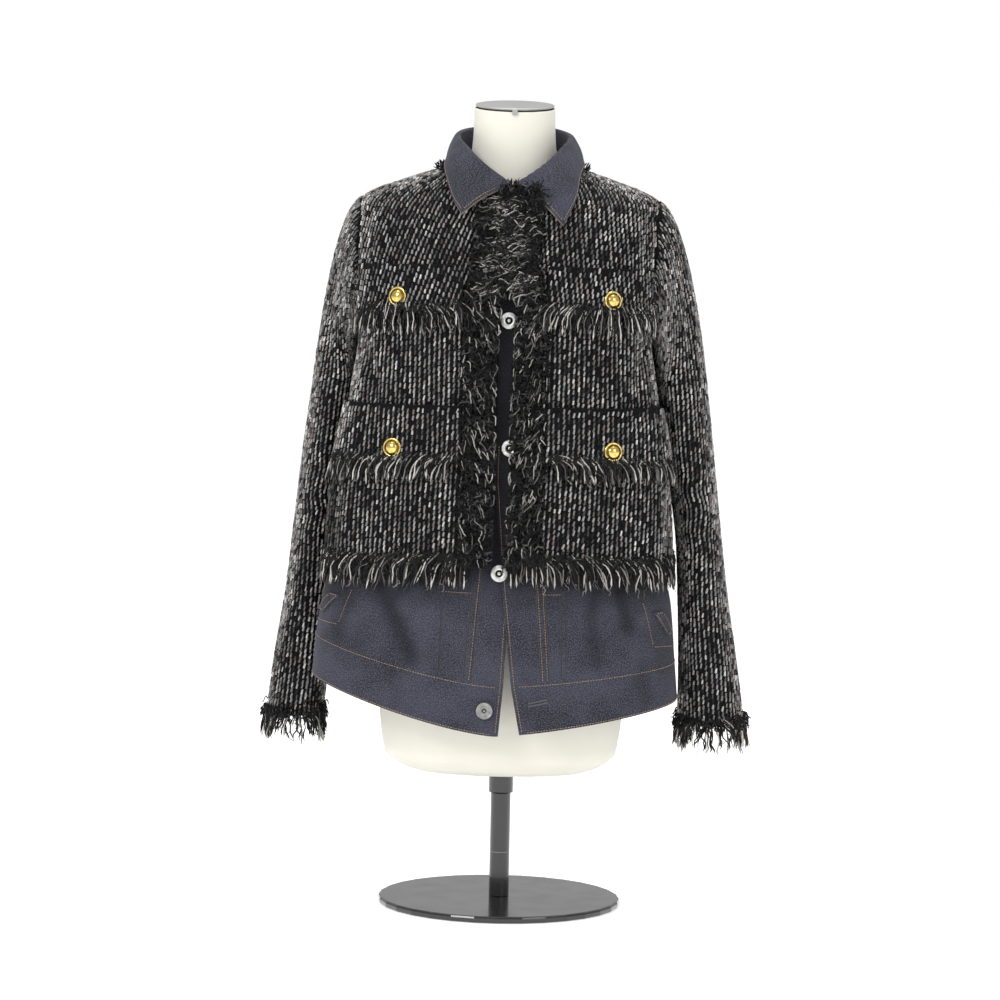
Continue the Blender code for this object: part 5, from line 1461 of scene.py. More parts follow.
# ---- Sleeves ----
# Two-piece tweed sleeves set into the armholes with a little fullness at the head. A top sleeve
# and a narrower under sleeve are seamed at the front and the back of the arm.
ARMHOLE_POINTS = 96
SLEEVE_SEAMS = (5 / 16, 11 / 16)  # share of the way round from the outer line
SLEEVE_COLUMNS = ("z", "x", "y", "across", "deep")
SLEEVES = {
    1: (
        (0.600, 0.1975, 0.014, 0.0290, 0.0660),
        (0.520, 0.2090, 0.014, 0.0270, 0.0620),
        (0.440, 0.2205, 0.010, 0.0245, 0.0590),
        (0.360, 0.2280, 0.000, 0.0270, 0.0530),
        (0.285, 0.2350, -0.012, 0.0320, 0.0480),
        (0.219, 0.2395, -0.022, 0.0365, 0.0450),
    ),
    -1: (
        (0.600, 0.1985, 0.022, 0.0265, 0.0660),
        (0.520, 0.2100, 0.034, 0.0255, 0.0620),
        (0.440, 0.2200, 0.046, 0.0245, 0.0580),
        (0.360, 0.2275, 0.050, 0.0255, 0.0520),
        (0.285, 0.2345, 0.046, 0.0300, 0.0470),
        (0.213, 0.2420, 0.040, 0.0315, 0.0440),
    ),
}
SLEEVE_HEAD_SLOPE = (-0.58, -0.26)
SLEEVE_HEAD_START = (0.0252, 0.1050)
SLEEVE_HEAD_END = (0.0210, 0.1365)
SLEEVE_HEAD_SPREAD = 0.16
HEAD_ROWS = 26
ARM_ROW_STEP = 0.085  # in sections
# Creases of each sleeve: (row share from cuff to head, angle share) places, width, depth
SLEEVE_CREASES = {
    1: (
        (((0.40, 0.16), (0.43, 0.26), (0.41, 0.34)), 0.0090, 0.0030),
        (((0.52, 0.14), (0.50, 0.24), (0.53, 0.33)), 0.0085, 0.0024),
        (((0.45, 0.64), (0.48, 0.74), (0.44, 0.84)), 0.0095, 0.0030),
        (((0.60, 0.62), (0.57, 0.72), (0.60, 0.80)), 0.0085, 0.0024),
        (((0.20, 0.60), (0.23, 0.72), (0.20, 0.84)), 0.0090, 0.0022),
        (((0.72, 0.20), (0.80, 0.17), (0.90, 0.13)), 0.0080, 0.0020),
        (((0.72, 0.80), (0.80, 0.84), (0.90, 0.88)), 0.0080, 0.0022),
    ),
    -1: (
        (((0.42, 0.15), (0.45, 0.25), (0.42, 0.35)), 0.0090, 0.0032),
        (((0.55, 0.16), (0.52, 0.26), (0.55, 0.34)), 0.0085, 0.0024),
        (((0.47, 0.66), (0.44, 0.76), (0.48, 0.85)), 0.0095, 0.0028),
        (((0.62, 0.64), (0.59, 0.73), (0.63, 0.82)), 0.0085, 0.0026),
        (((0.22, 0.62), (0.18, 0.74), (0.22, 0.84)), 0.0090, 0.0022),
        (((0.70, 0.21), (0.79, 0.18), (0.89, 0.14)), 0.0080, 0.0022),
        (((0.71, 0.79), (0.80, 0.83), (0.91, 0.87)), 0.0080, 0.0020),
    ),
}


def sleeve_section(side, place, angles):
    row = dict(zip(SLEEVE_COLUMNS, smooth_row(SLEEVES[side], place)))
    x = side * (row["x"] + row["across"] * np.cos(angles))
    y = row["y"] - row["deep"] * np.sin(angles)
    return np.stack([x, y, np.full_like(x, row["z"])], axis=1)


def sleeve_grid(side):
    """Fine grid of a sleeve: rows from the cuff up to the armhole, columns once round from the
    outer line and back to it."""
    angles = -side * np.linspace(-math.pi, math.pi, ARMHOLE_POINTS + 1)
    middle, reach = (UNDERARM_RING + SHOULDER_RING) / 2, (SHOULDER_RING - UNDERARM_RING) / 2
    ring = middle + reach * np.cos(angles)
    turn = side * (0.5 - ARMHOLE_WIDTH * np.sin(angles))
    seam, shadow_ways = torso_point(tweed_grid, ring, turn)
    first = sleeve_section(side, 0, angles)
    second = sleeve_section(side, 1, angles)
    height = (np.cos(angles) + 1) / 2
    leave = np.stack([
        np.full_like(height, side), -SLEEVE_HEAD_SPREAD * np.sin(angles),
        np.interp(height, (0, 1), SLEEVE_HEAD_SLOPE),
    ], axis=1)
    start = unit(leave) * np.interp(height, (0, 1), SLEEVE_HEAD_START)[:, None]
    end = unit(second - first) * np.interp(height, (0, 1), SLEEVE_HEAD_END)[:, None]
    rows = [smooth_step(seam, start, first, end, share) for share in np.linspace(0, 1, HEAD_ROWS)]
    for place in np.arange(ARM_ROW_STEP, len(SLEEVES[side]) - 1 + ARM_ROW_STEP / 2, ARM_ROW_STEP):
        rows.append(sleeve_section(side, min(place, len(SLEEVES[side]) - 1), angles))
    points = np.array(rows[::-1])
    return {"points": points, "normals": grid_normals(points)}


SLEEVE_LINE = ARMHOLE_POINTS // 2


def sleeve_column(side, around):
    """Column of a sleeve's grid at that share of the way round from its outer line."""
    return (SLEEVE_LINE - side * around * ARMHOLE_POINTS) % ARMHOLE_POINTS


sleeve_cloths = {}
for side, word in SIDES:
    grid = sleeve_grid(side)
    count = len(grid["points"])

    def sleeve_place(down, around, side=side, count=count):
        return down * (count - 1), sleeve_column(side, around)

    press_creases(grid, SLEEVE_CREASES[side], sleeve_place)
    cloth = measured_cloth(grid["points"], grid["normals"], SLEEVE_LINE)
    cuff_line = np.concatenate([grid["points"][0], grid["points"][0][:1]])
    cloth["cuff_half"] = np.linalg.norm(np.diff(cuff_line, axis=0), axis=1).sum() / 2
    sleeve_cloths[side] = cloth
    inner = grid["points"] - grid["normals"] * TWEED
    first, last = sorted(int(round(sleeve_column(side, around))) for around in SLEEVE_SEAMS)
    columns_of = {
        "top": list(range(first, last + 1)),
        "under": [*range(last, ARMHOLE_POINTS), *range(0, first + 1)],
    }
    for part, ends, seed in (("top", ("",), 115), ("under", ("_upper", "_lower"), 110)):
        columns = columns_of[part]
        name = f"tweed_{part}_sleeve_{word}"
        piece = wall(name, grid["points"][:, columns], inner[:, columns], tweed_finish)
        settle(piece, "tweed", *(f"tweed_sleeve_{part}{end}_{word}" for end in ends))
        chosen = np.zeros(ARMHOLE_POINTS + 1, bool)
        chosen[columns] = True

        def on_sleeve(row, column, chosen=chosen, count=count):
            nearest = np.clip(np.round(column).astype(int), 0, ARMHOLE_POINTS)
            return chosen[nearest] & (row < count - 2) & (row > 0.3)

        slubs = slub_mesh(f"{name}_yarns", cloth, on_sleeve, seed + side)


# ---- Pocket flaps ----
# Four tweed flaps, two upper and two lower, each one sheet sewn down along its top edge and
# hanging free over the front. Their stripes are cut to meet those of the front.
FLAP_COLUMNS = ("name", "z_top", "z_bottom", "inner", "outer")
FLAPS = (
    ("upper", 0.740, 0.691, 0.047, 0.185),
    ("lower", 0.583, 0.520, 0.047, 0.231),
)
FLAP_LIFT_TOP = 0.0020
FLAP_LIFT_BOTTOM = 0.0042
FLAP_SWELL = 0.0007
# Radius and colour of the painted shadow line along each flap's sewn top edge
SEWN_EDGE_SHADOW_RADIUS = 0.0013
FLAP_SEAM_SHADOW = (0.006, 0.006, 0.007)


def flap_parts():
    """Each flap's side and its word, its measures, its full name and its top and bottom rings."""
    for side, word in SIDES:
        for values in FLAPS:
            flap = dict(zip(FLAP_COLUMNS, values))
            rings = [float(ring_at_height(tweed_grid, flap[key])) for key in ("z_top", "z_bottom")]
            yield side, word, flap, f"{flap['name']}_{word}", rings


for side, word, flap, label, (top, bottom) in flap_parts():
    rings = np.linspace(bottom, top, 16)
    inner, outer = (side * cloth_turn(tweed_grid, rings, flap[key]) for key in ("inner", "outer"))
    turns = columns_between(inner, outer, 40)[:, ::side]
    lifts = np.linspace(FLAP_LIFT_BOTTOM, FLAP_LIFT_TOP, 16)[:, None]
    swell = FLAP_SWELL * np.sin(turns * 46 + side) * np.linspace(1, 0, 16)[:, None]
    outer, normals = torso_point(tweed_grid, rings[:, None], turns, lifts + swell + TWEED)
    piece = wall(f"pocket_flap_{label}", outer, outer - normals * TWEED, tweed_finish)
    settle(piece, "tweed", f"flap_{label}")

    def on_flap(row, column, side=side, flap=flap, top=top, bottom=bottom):
        ring, turn = row * GRID_STEP, side * turn_of(column, front_turns)
        ends = [cloth_turn(tweed_grid, ring, flap[key]) for key in ("inner", "outer")]
        margin = cloth_turn(tweed_grid, ring, TWEED_MARGIN)
        across = (turn > ends[0] + margin) & (turn < ends[1] - margin)
        return across & (ring > bottom + 0.01) & (ring < top - 0.02)

    def flap_rise(row, top=top, bottom=bottom):
        return np.interp(row * GRID_STEP, (bottom, top), (FLAP_LIFT_BOTTOM, FLAP_LIFT_TOP)) + TWEED

    slubs = slub_mesh(
        f"pocket_flap_{label}_yarns", front_cloth, on_flap, 130 + side + 10 * (flap["name"] == "lower"),
        front_lean(side), sorted((side * 0.03, side * 0.25)), 0.05, flap_rise,
    )
    # Painted shadow: a thin dark cord along the flap's sewn top edge
    line = np.linspace(turns[-1, 0], turns[-1, -1], 60)
    sewn, ways = torso_point(tweed_grid, top + 0.012, line, FLAP_LIFT_TOP + 0.0016)
    cord = tubes(
        f"pocket_flap_{label}_sewn_edge_shadow", "tweed", yarn_finish, sewn[None], ways[None],
        SEWN_EDGE_SHADOW_RADIUS, 0.8, FLAP_SEAM_SHADOW, 6,
    )


# ---- Fringes of the hems, cuffs and pocket flaps ----
# The tweed's own edge, unpicked: cream and grey slub yarns at their spacing in the cloth, with
# the black boucle loops and thin fibres between them. They splay outward, then hang down.
FRINGE_STOPS = 8
CREAM = (0.520, 0.500, 0.465)
LOOP_BLACK = (0.014, 0.014, 0.014)
FRINGE_KINDS = (
    # kind, share of a column's pitch, radius, length share, wander, tip, colour, its darkest and
    # its palest strength
    ("slub", 0.95, 0.00088, 0.98, 0.16, 1.50, CREAM, (0.10, 1.45)),
    ("loop", 0.23, 0.00115, 0.92, 0.45, 0.75, LOOP_BLACK, (0.5, 2.4)),
    ("curl", 0.34, 0.00100, 0.45, 1.10, 0.75, LOOP_BLACK, (0.5, 2.4)),
    ("fibre", 2.00, 0.00030, 1.04, 0.60, 0.75, CREAM, (0.08, 0.80)),
    ("fluff", 2.20, 0.00050, 0.42, 0.85, 0.75, CREAM, (0.08, 0.80)),
)
# Mean and spread of the yarns' headings at their starts and their ends, in radians
FRINGE_HEADINGS = ((0.84, 0.14), (0.08, 0.16))
FLUFF_HEADINGS = ((0, 0.8), (0, 0.5))
FRINGE_START = 0.0105  # how far above the cloth's edge the yarns come loose
FRINGE_LIFT = 0.0016
HEM_FRINGE = 0.036
HEM_FLARE = 0.0045
HEM_FROM = 0.031  # from the centre front
HEM_SIDE_GAP = 0.002
# At the front corners, where the two fringes meet, the yarns hang nearly straight
HEM_CORNER_START = {1: 0.012, -1: 0.028}
HEM_CORNER_END = 0.058
HEM_CORNER_LENGTH = 0.029
CUFF_FRINGE = 0.033
CUFF_FLARE = 0.0080
CUFF_GAP = 0.0008
FLAP_FRINGE = 0.029
FLAP_FRINGE_CLEAR = 0.0008
SIDE_FRINGE_PITCH = 0.0007
SIDE_FRINGE_RADII = (0.0010, 0.00065)  # of its black and its cream yarns
SIDE_FRINGE_LENGTHS = (0.009, 0.0185)


def steps_along(step):
    """Running sum of each yarn's steps, from nothing at its start."""
    return np.concatenate([np.zeros((len(step), 1)), np.cumsum(step, axis=1)], axis=1)


def yarn_paths(cloth, u, v, first, last, length, lifts, wander, rng, turn_after=0.35, between=None):
    """Paths of loose yarns from flat cloth places. Their heading is an angle from straight down,
    which swings from first to last, and lifts are their two ends' heights off the cloth."""
    count = len(u)
    run = np.linspace(0, 1, FRINGE_STOPS)
    swing = ease((run[None] - turn_after) / 0.4)
    heading = first[:, None] + (last - first)[:, None] * swing
    for waves in (1.0, 2.3):
        phase = rng.uniform(0, 2 * math.pi, (count, 1))
        sway = wander * rng.uniform(0.3, 1.0, (count, 1))
        heading = heading + sway * np.sin(waves * 2 * math.pi * run + phase)
    step = (length / (FRINGE_STOPS - 1))[:, None]
    us = u[:, None] + steps_along(np.sin(heading[:, 1:]) * step)
    vs = v[:, None] - steps_along(np.cos(heading[:, 1:]) * step)
    if between is not None:
        inner, outer = (limit[:, None] for limit in between)
        side = np.sign(u)[:, None]
        reach = inner + np.abs(us * side - inner)
        us = side * (outer - np.abs(outer - reach))
    bob = 0.0006 * np.sin(run * 9 + rng.uniform(0, 6, (count, 1)))
    low, high = (lift[:, None] for lift in lifts)
    return on_cloth(cloth, us, vs, low + (high - low) * run + bob * (run > 0))


def yarn_radii(radius, rng, tip=0.75):
    """Radii of slubby yarns that are thick and thin along their length."""
    run = np.linspace(0, 1, FRINGE_STOPS)[1:-1]
    waves = rng.uniform(6, 16, (len(radius), 1))
    lumps = 1 + 0.22 * np.sin(run * waves + rng.uniform(0, 6, (len(radius), 1)))
    return radius[:, None] * lumps * (1 - (1 - tip) * run ** 3)


def spun(colour, low, high, count, rng):
    """That colour for each yarn, at strengths between the two."""
    return np.tile(colour, (count, 1)) * rng.uniform(low, high, (count, 1))


def lay_yarns(name, groups, flatness, *node_names):
    """One fringe of yarns, from groups of paths, facings, radii and colours."""
    paths, ways, radii, shades = (np.concatenate(parts) for parts in zip(*groups))
    tubes(name, "fringe", yarn_finish, paths, ways, radii, flatness, shades, 3, node_names)


def hanging_fringe(name, node_names, cloth, ends, length, lifts, outward, seed, edge_v=0.0):
    """A fringe along one edge: slub yarns at the cloth's pitch, black loops and thin fibres."""
    rng = np.random.default_rng(seed)
    groups = []
    low_u, high_u = ends
    for kind, share, radius, reach, wander, tip, colour, strengths in FRINGE_KINDS:
        pitch = SLUB_PITCH * share
        count = int((high_u - low_u) / pitch)
        u = low_u + (np.arange(count) + 0.5) * pitch + rng.normal(0, pitch * 0.16, count)
        v = edge_v + rng.uniform(0.6, 1.15, count) * FRINGE_START
        full = length + v - edge_v
        long = full * reach * rng.uniform(0.86, 1.08, count)
        if kind == "fluff":
            v = v - full * rng.uniform(0.50, 0.68, count)
            u = u + outward(u) * 0.009
        first, last = (outward(u) * rng.normal(*heading, count) for heading in FRINGE_HEADINGS)
        if kind in ("curl", "fluff"):
            first, last = (rng.normal(*heading, count) for heading in FLUFF_HEADINGS)
        low = lifts[0] + rng.normal(0, 0.0004, count)
        high = lifts[1] + rng.normal(0, 0.0011, count)
        if kind == "loop":
            low, high = low - 0.0006, high - 0.0010
        path, way = yarn_paths(cloth, u, v, first, last, long, (low, high), wander, rng)
        thickness = yarn_radii(radius * rng.uniform(0.8, 1.2, count), rng, tip)
        groups.append((path, way, thickness, spun(colour, *strengths, count, rng)))
    lay_yarns(name, groups, 0.85, *node_names)


def splayed_from(middle):
    """Outward on both sides of the flap's middle."""
    return lambda u: np.clip((u - middle) / 0.03, -1, 1) * 0.9


def nearly_straight(u):
    return 0.18 * np.sign(u)


def outward_back(u):
    return -np.sign(u)


def all_ways(u):
    return np.sin(u * 97.0)


hem_lifts = (FRINGE_LIFT, HEM_FLARE)
for side, word in SIDES:
    hanging_fringe(
        f"hem_fringe_{word}_yarns", [f"hem_fringe_{word}"], front_cloth,
        sorted((side * HEM_FROM, side * (front_cloth["hem_side"] - HEM_SIDE_GAP))),
        HEM_FRINGE, hem_lifts, np.sign, 210 + side,
    )
    hanging_fringe(
        f"hem_corner_{word}_yarns", [], front_cloth,
        sorted((side * HEM_CORNER_START[side], side * HEM_CORNER_END)),
        HEM_CORNER_LENGTH, hem_lifts, nearly_straight, 216 + side,
    )
    half = sleeve_cloths[side]["cuff_half"] - CUFF_GAP
    hanging_fringe(
        f"cuff_fringe_{word}_yarns", [f"cuff_fringe_{word}"], sleeve_cloths[side], (-half, half),
        CUFF_FRINGE, (FRINGE_LIFT, CUFF_FLARE), all_ways, 220 + side,
    )
edge = back_cloth["hem_side"] - HEM_SIDE_GAP
hanging_fringe(
    "hem_fringe_back_yarns", ["hem_fringe_back"], back_cloth, (-edge, edge), HEM_FRINGE, hem_lifts,
    outward_back, 214,
)
for side, word, flap, label, rings in flap_parts():
    seed = side + 10 * (flap["name"] == "lower")
    middle = side * (flap["inner"] + flap["outer"]) / 2
    top_v, edge_v = (float(climb_to(front_cloth, ring / GRID_STEP, np.array(middle))) for ring in rings)
    lift = FLAP_LIFT_BOTTOM + TWEED + FLAP_FRINGE_CLEAR
    hanging_fringe(
        f"pocket_flap_{label}_fringe", [f"flap_fringe_{label}"], front_cloth,
        sorted((side * flap["inner"], side * (flap["outer"] + 0.003))), FLAP_FRINGE,
        (lift, lift + 0.0012), splayed_from(middle) if flap["name"] == "upper" else np.sign,
        230 + seed, edge_v,
    )
    # The short loose ends at the flap's outer side
    rng = np.random.default_rng(250 + seed)
    count = int((top_v - edge_v) / SIDE_FRINGE_PITCH)
    v = np.linspace(edge_v, top_v - 0.002, count)
    u = side * (flap["outer"] - 0.004) + rng.normal(0, 0.0012, count)
    heading = side * rng.normal(1.35, 0.35, count)
    share = (v - edge_v) / (top_v - edge_v)
    lift = FLAP_LIFT_BOTTOM + (FLAP_LIFT_TOP - FLAP_LIFT_BOTTOM) * share + TWEED + 0.0005
    length = rng.uniform(*SIDE_FRINGE_LENGTHS, count)
    lifts = (lift, lift + rng.uniform(-0.0006, 0.0014, count))
    path, way = yarn_paths(front_cloth, u, v, heading, heading - side * 0.7, length, lifts, 0.9, rng)
    dark = rng.random(count) < 0.5
    shades = np.where(dark[:, None], 0.016, np.array(CREAM) * 0.8) * rng.uniform(0.6, 1.2, (count, 1))
    thickness = yarn_radii(np.where(dark, *SIDE_FRINGE_RADII), rng)
    tubes(
        f"pocket_flap_{label}_side_fringe", "fringe", yarn_finish, path, way, thickness, 0.85, shades,
        3, [f"flap_side_fringe_{label}"],
    )


# ---- Fringed front edges ----
# Both front edges are fringed from neck to hem: a mat of black boucle curls that spill past the
# woven edge, with thin cream threads slanting through them. Near the neck the two sides mingle.
EDGE_OUTER = 0.044
EDGE_NARROWING = 0.012
EDGE_HEIGHTS = (0.409, 0.501, 0.593, 0.703, 0.735)
EDGE_INNER = {  # at those heights; near the neck the two sides' curls cross
    1: (0.0047, 0.0078, 0.0060, 0.0120, -0.0085), -1: (0.0057, 0.0060, 0.0088, 0.0030, -0.0085),
}
MAT_BACK = 0.005
EDGE_MAT = 0.0022
MAT_BASE = 0.0012
MAT_FROM = 0.0012  # at least this far from the centre front
CURL_BLACK = (0.012, 0.012, 0.012)
CURL_STRENGTHS = (0.3, 2.4)  # darkest and palest
THREAD_STRENGTHS = (0.06, 1.10)
EDGE_KINDS = (  # kind, count, heights, wander, radius, lengths, lifts
    ("curl", 1700, (0.405, 0.812), 1.5, 0.00115, (0.012, 0.022), (0.0024, 0.0060)),
    ("thread", 120, (0.415, 0.720), 0.18, 0.00080, (0.009, 0.018), (0.0050, 0.0066)),
    ("bunch", 700, (0.715, 0.826), 1.4, 0.00135, (0.013, 0.026), (0.0030, 0.0084)),
    ("arc", 95, (0.708, 0.816), 0.14, 0.00084, (0.009, 0.022), (0.0062, 0.0082)),
)
# Which way each kind starts and ends, in radians from straight down
CURL_HEADING = 2.6
THREAD_HEADINGS = ((0.62, 0.30), (0.20, 0.35))  # mean and spread, at its start and its end
BUNCH_HEADINGS = ((1.45, 0.35), (1.1, 0.7))
ARC_UP_HEADINGS = ((0.95, 0.25), (2.0, 0.30))
ARC_DOWN_HEADINGS = ((2.1, 0.25), (0.9, 0.30))
GREY_SHARE = 0.16  # of the black curls
GREY_STRENGTH = 5.0
NECK_CURLS = {1: (0.008, 0.033), -1: (-0.013, 0.012)}
NECK_CURL_COUNT = 170
NECK_CURL_HEIGHTS = (0.802, 0.8275)
NECK_CURL_RADIUS = 0.0010
NECK_CURL_REACH = (0.006, 0.0135)
NECK_GREY_SHARE = 0.12
COLLAR_FRONT = -0.0885
COLLAR_SLANT = 0.58  # how much farther forward the collar's front edges lie, away from the middle
TUFT_COUNT = 260
TUFTS_IN_FRONT = 130
TUFT_RADIUS = 0.0009
TUFT_REACH = (0.006, 0.013)


def edge_limits(heights, side):
    """Distances from the centre front between which the fringe lies at those heights."""
    inner = np.interp(heights, EDGE_HEIGHTS, EDGE_INNER[side])
    return inner, EDGE_OUTER - np.interp(heights, EDGE_HEIGHTS[-2:], (0, EDGE_NARROWING))


for side, word in SIDES:
    rng = np.random.default_rng(270 + side)
    mat_rings = np.linspace(0.03, NECK_RING - 0.4, 120)
    heights = at_ring(tweed_grid, "fronts", mat_rings)
    inner, outer = edge_limits(heights, side)
    inner = np.maximum(inner + MAT_BACK, MAT_FROM)
    outer = outer - 0.007 + 0.004 * np.sin(heights * 260 + side)
    near, far = (turn_at(tweed_grid, mat_rings, side * limit) for limit in (inner, outer))
    turns = columns_between(near, far, 9)[:, ::side]
    face, ways = torso_point(tweed_grid, mat_rings[:, None], turns, EDGE_MAT)
    back = face - ways * (EDGE_MAT - MAT_BASE)
    settle(wall(f"front_edge_{word}_matted_wool", face, back, tweed_finish), "fringe")

    groups = []
    for kind, count, heights, wander, radius, lengths, lifts in EDGE_KINDS:
        z = rng.uniform(*heights, count)
        row = ring_at_height(tweed_grid, z) / GRID_STEP
        inner, outer = edge_limits(z, side)
        across = rng.random(count)
        spill = rng.uniform(-0.003, 0.010, count) * (across > 0.5)
        outer = outer + 0.004 * np.sin(z * 190 + side) * np.sin(z * 71) + spill
        u = side * (inner + 0.002 + (outer - inner - 0.004) * across)
        v = climb_to(front_cloth, row, u)
        if kind == "curl":
            first, last = (rng.uniform(-CURL_HEADING, CURL_HEADING, count) for _ in range(2))
        elif kind == "thread":
            first, last = (-side * rng.normal(*heading, count) for heading in THREAD_HEADINGS)
        elif kind == "arc":
            u = side * (outer - rng.uniform(0.0, 0.026, count))
            turns_up = (rng.random(count) < 0.7) == (side == -1)
            first, last = (
                -side * np.where(turns_up, rng.normal(*up, count), rng.normal(*down, count))
                for up, down in zip(ARC_UP_HEADINGS, ARC_DOWN_HEADINGS)
            )
        else:
            turned = np.where(rng.random(count) < 0.5, 1, -1)
            first, last = (turned * rng.normal(*heading, count) for heading in BUNCH_HEADINGS)
        length = rng.uniform(*lengths, count)
        ends = [rng.uniform(*lifts, count) for _ in range(2)]
        path, way = yarn_paths(
            front_cloth, u, v, first, last, length, ends, wander, rng, 0.1, (inner, outer)
        )
        thickness = yarn_radii(radius * rng.uniform(0.75, 1.2, count), rng)
        if kind in ("curl", "bunch"):
            greyed = np.where(rng.random((count, 1)) < GREY_SHARE, GREY_STRENGTH, 1.0)
            shades = spun(CURL_BLACK, *CURL_STRENGTHS, count, rng) * greyed
        else:
            shades = spun(CREAM, *THREAD_STRENGTHS, count, rng)
        groups.append((path, way, thickness, shades))
    lay_yarns(f"front_edge_{word}_fringe", groups, 0.9, f"edge_fringe_{word}")

    # Black curls that stand up at the front of the neck, over the collar's ends
    count = NECK_CURL_COUNT
    x = rng.uniform(*NECK_CURLS[side], count)
    z = rng.uniform(*NECK_CURL_HEIGHTS, count)
    y = COLLAR_FRONT - COLLAR_SLANT * np.abs(x) - rng.uniform(0.001, 0.004, count)
    heading = unit(rng.normal(0, 1, (count, 3)) * np.array([1.0, 0.5, 1.0]) + np.array([0, 0.1, 0.6]))
    run = np.linspace(0, 1, 7)[:, None]
    sideways = unit(np.cross(heading, [0, 1.0, 0]))[:, None]
    reach = rng.uniform(*NECK_CURL_REACH, (count, 1, 1))
    curl = sideways * np.sin(run * rng.uniform(3, 8, (count, 1, 1))) * 0.0030
    path = np.stack([x, y, z], axis=1)[:, None] + heading[:, None] * run * reach + curl
    in_front = COLLAR_FRONT - COLLAR_SLANT * np.abs(path[..., 0]) - 0.001
    path[..., 1] = np.minimum(path[..., 1], in_front)
    greyed = np.where(rng.random((count, 1)) < NECK_GREY_SHARE, GREY_STRENGTH, 1.0)
    thickness = NECK_CURL_RADIUS * rng.uniform(0.6, 1.2, (count, 1))
    shades = spun(CURL_BLACK, 0.4, 2.4, count, rng) * greyed
    tubes(
        f"neck_front_{word}_curls", "fringe", yarn_finish, path, np.array([0, -1.0, 0]), thickness,
        0.9, shades, 3,
    )

    # Tufts of the same wool along the neck edge, below the collar
    count = TUFT_COUNT
    ring = NECK_RING - 0.10 + rng.uniform(-0.2, 0.05, count)
    turn = side * rng.uniform(0.02, 0.98, count)
    at_front = np.arange(count) < TUFTS_IN_FRONT
    turn[at_front] = side * rng.uniform(-0.02, 0.155, TUFTS_IN_FRONT)
    foot, way = torso_point(tweed_grid, ring, turn, 0.001)
    lean_way = unit(rng.normal(0, 1, (count, 3)) + way * 0.6 + np.array([0, 0, 0.8]))
    run = np.linspace(0, 1, 6)[:, None]
    reach = rng.uniform(*TUFT_REACH, (count, 1, 1)) * np.where(at_front, 1.25, 1.0)[:, None, None]
    curl = np.cross(way, lean_way)[:, None] * np.sin(run * 5)[None] * 0.0022
    thickness = TUFT_RADIUS * rng.uniform(0.7, 1.2, (count, 1))
    shades = spun(CURL_BLACK, 0.5, 2.5, count, rng)
    path = foot[:, None] + lean_way[:, None] * run * reach + curl
    tubes(
        f"neck_edge_{word}_tufts", "fringe", yarn_finish, path, way[:, None], thickness, 0.9, shades, 3,
    )


# ---- Gold buttons ----
# Four gilt metal buttons, one on each flap: a domed middle inside a rounded rim, sewn on by a
# shank that is hidden behind them.
GOLD_RADIUS = 0.0105
GOLD_DEPTH = 0.0058
GOLD_GROOVE = (0.60, 0.84)
GOLD_PROFILE = (
    (0.94, 0.0000), (1.00, 0.0006), (1.04, 0.0013), (1.02, 0.0020), (0.95, 0.0025), (0.87, 0.0025),
    (0.82, 0.0021), (0.79, 0.0016), (0.76, 0.0018), (0.70, 0.0026), (0.60, 0.0036), (0.48, 0.0045),
    (0.34, 0.0052), (0.18, 0.0057), (0.05, 0.0058),
)
# The groove between the dome and the rim is coloured dark: painted shade and painted reflection
set_buttons(
    [f"gold_button_{word}" for word in ("upper_left", "upper_right", "lower_left", "lower_right")],
    "gold", tweed_grid, GOLD_RADIUS, GOLD_PROFILE, GOLD_DEPTH,
    metal("gilt_metal", (0.85, 0.66, 0.22), (0.62, 0.44, 0.13), 0.16, 0.30),
    metal("gilt_groove_painted_shade", (0.22, 0.15, 0.030), (0.10, 0.065, 0.012), 0.35, 0.5), GOLD_GROOVE,
)


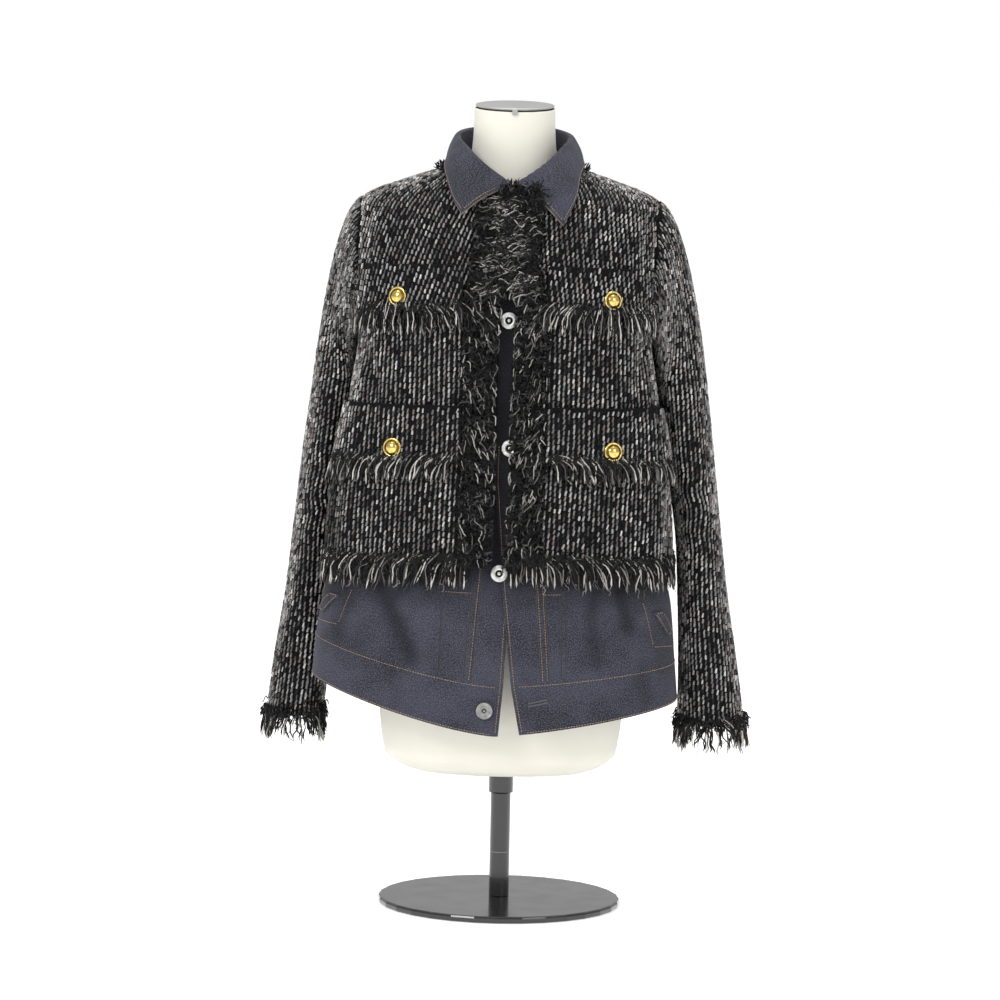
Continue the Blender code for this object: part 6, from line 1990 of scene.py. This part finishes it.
# ---- Floor, lights and camera ----
# A pale floor, two broad soft lights from the front and one from above in a white room.
FLOOR_GLOW = 0.62
AIM = (0.0, 0.0, 0.468)
CAMERA_RISE = math.radians(5)
CAMERA_ROLL = math.radians(1.2)
CAMERA_REACH = 5.0
CAMERA_LENS = 156.5
CAMERA_SHIFT = -0.0069
ROOM_LIGHT = 0.52

bpy.ops.mesh.primitive_plane_add(size=60, location=(0, 0, -0.0005))
floor = bpy.context.object
floor.name = "floor"
bpy.ops.object.transform_apply(location=True, rotation=True, scale=True)
floor.select_set(False)
wear(floor, new_finish("floor_white", {
    "Base Color": grey(0.85), "Roughness": 0.9, "Specular IOR Level": 0.1,
    "Emission Color": grey(1), "Emission Strength": FLOOR_GLOW,
}))

world = bpy.data.worlds.new("studio")
bpy.context.scene.world = world
world.use_nodes = True
seen = add_node(world, "ShaderNodeLightPath").outputs["Is Camera Ray"]
level = add_node(world, "ShaderNodeMapRange", {"Value": seen, "To Min": ROOM_LIGHT, "To Max": 1.0})
background = {"Color": grey(1), "Strength": level.outputs["Result"]}
connect(world, world.node_tree.nodes["Background"], background)
LIGHTS = (  # name, place, size, power
    ("key", (-2.2, -3.4, 2.9), 1.6, 82.0),
    ("fill", (2.6, -3.0, 2.0), 2.0, 30.0),
    ("top", (0.0, 0.2, 3.2), 2.4, 50.0),
)
for name, place, size, power in LIGHTS:
    data = bpy.data.lights.new(name, "AREA")
    data.size = size
    data.energy = power
    lamp = put_in(name, data)
    lamp.location = place
    lamp.rotation_euler = (Vector(AIM) - Vector(place)).to_track_quat("-Z", "Y").to_euler()

camera_data = bpy.data.cameras.new("camera")
camera_data.lens = CAMERA_LENS
camera_data.sensor_width = 36.0
camera_data.shift_x = CAMERA_SHIFT
camera = put_in("camera", camera_data)
back = Vector((0, -math.cos(CAMERA_RISE), math.sin(CAMERA_RISE)))
turned = Matrix.Rotation(math.pi / 2 - CAMERA_RISE, 4, "X") @ Matrix.Rotation(CAMERA_ROLL, 4, "Z")
camera.matrix_world = Matrix.Translation(Vector(AIM) + back * CAMERA_REACH) @ turned
bpy.context.scene.camera = camera
bpy.context.scene.view_settings.view_transform = "Standard"
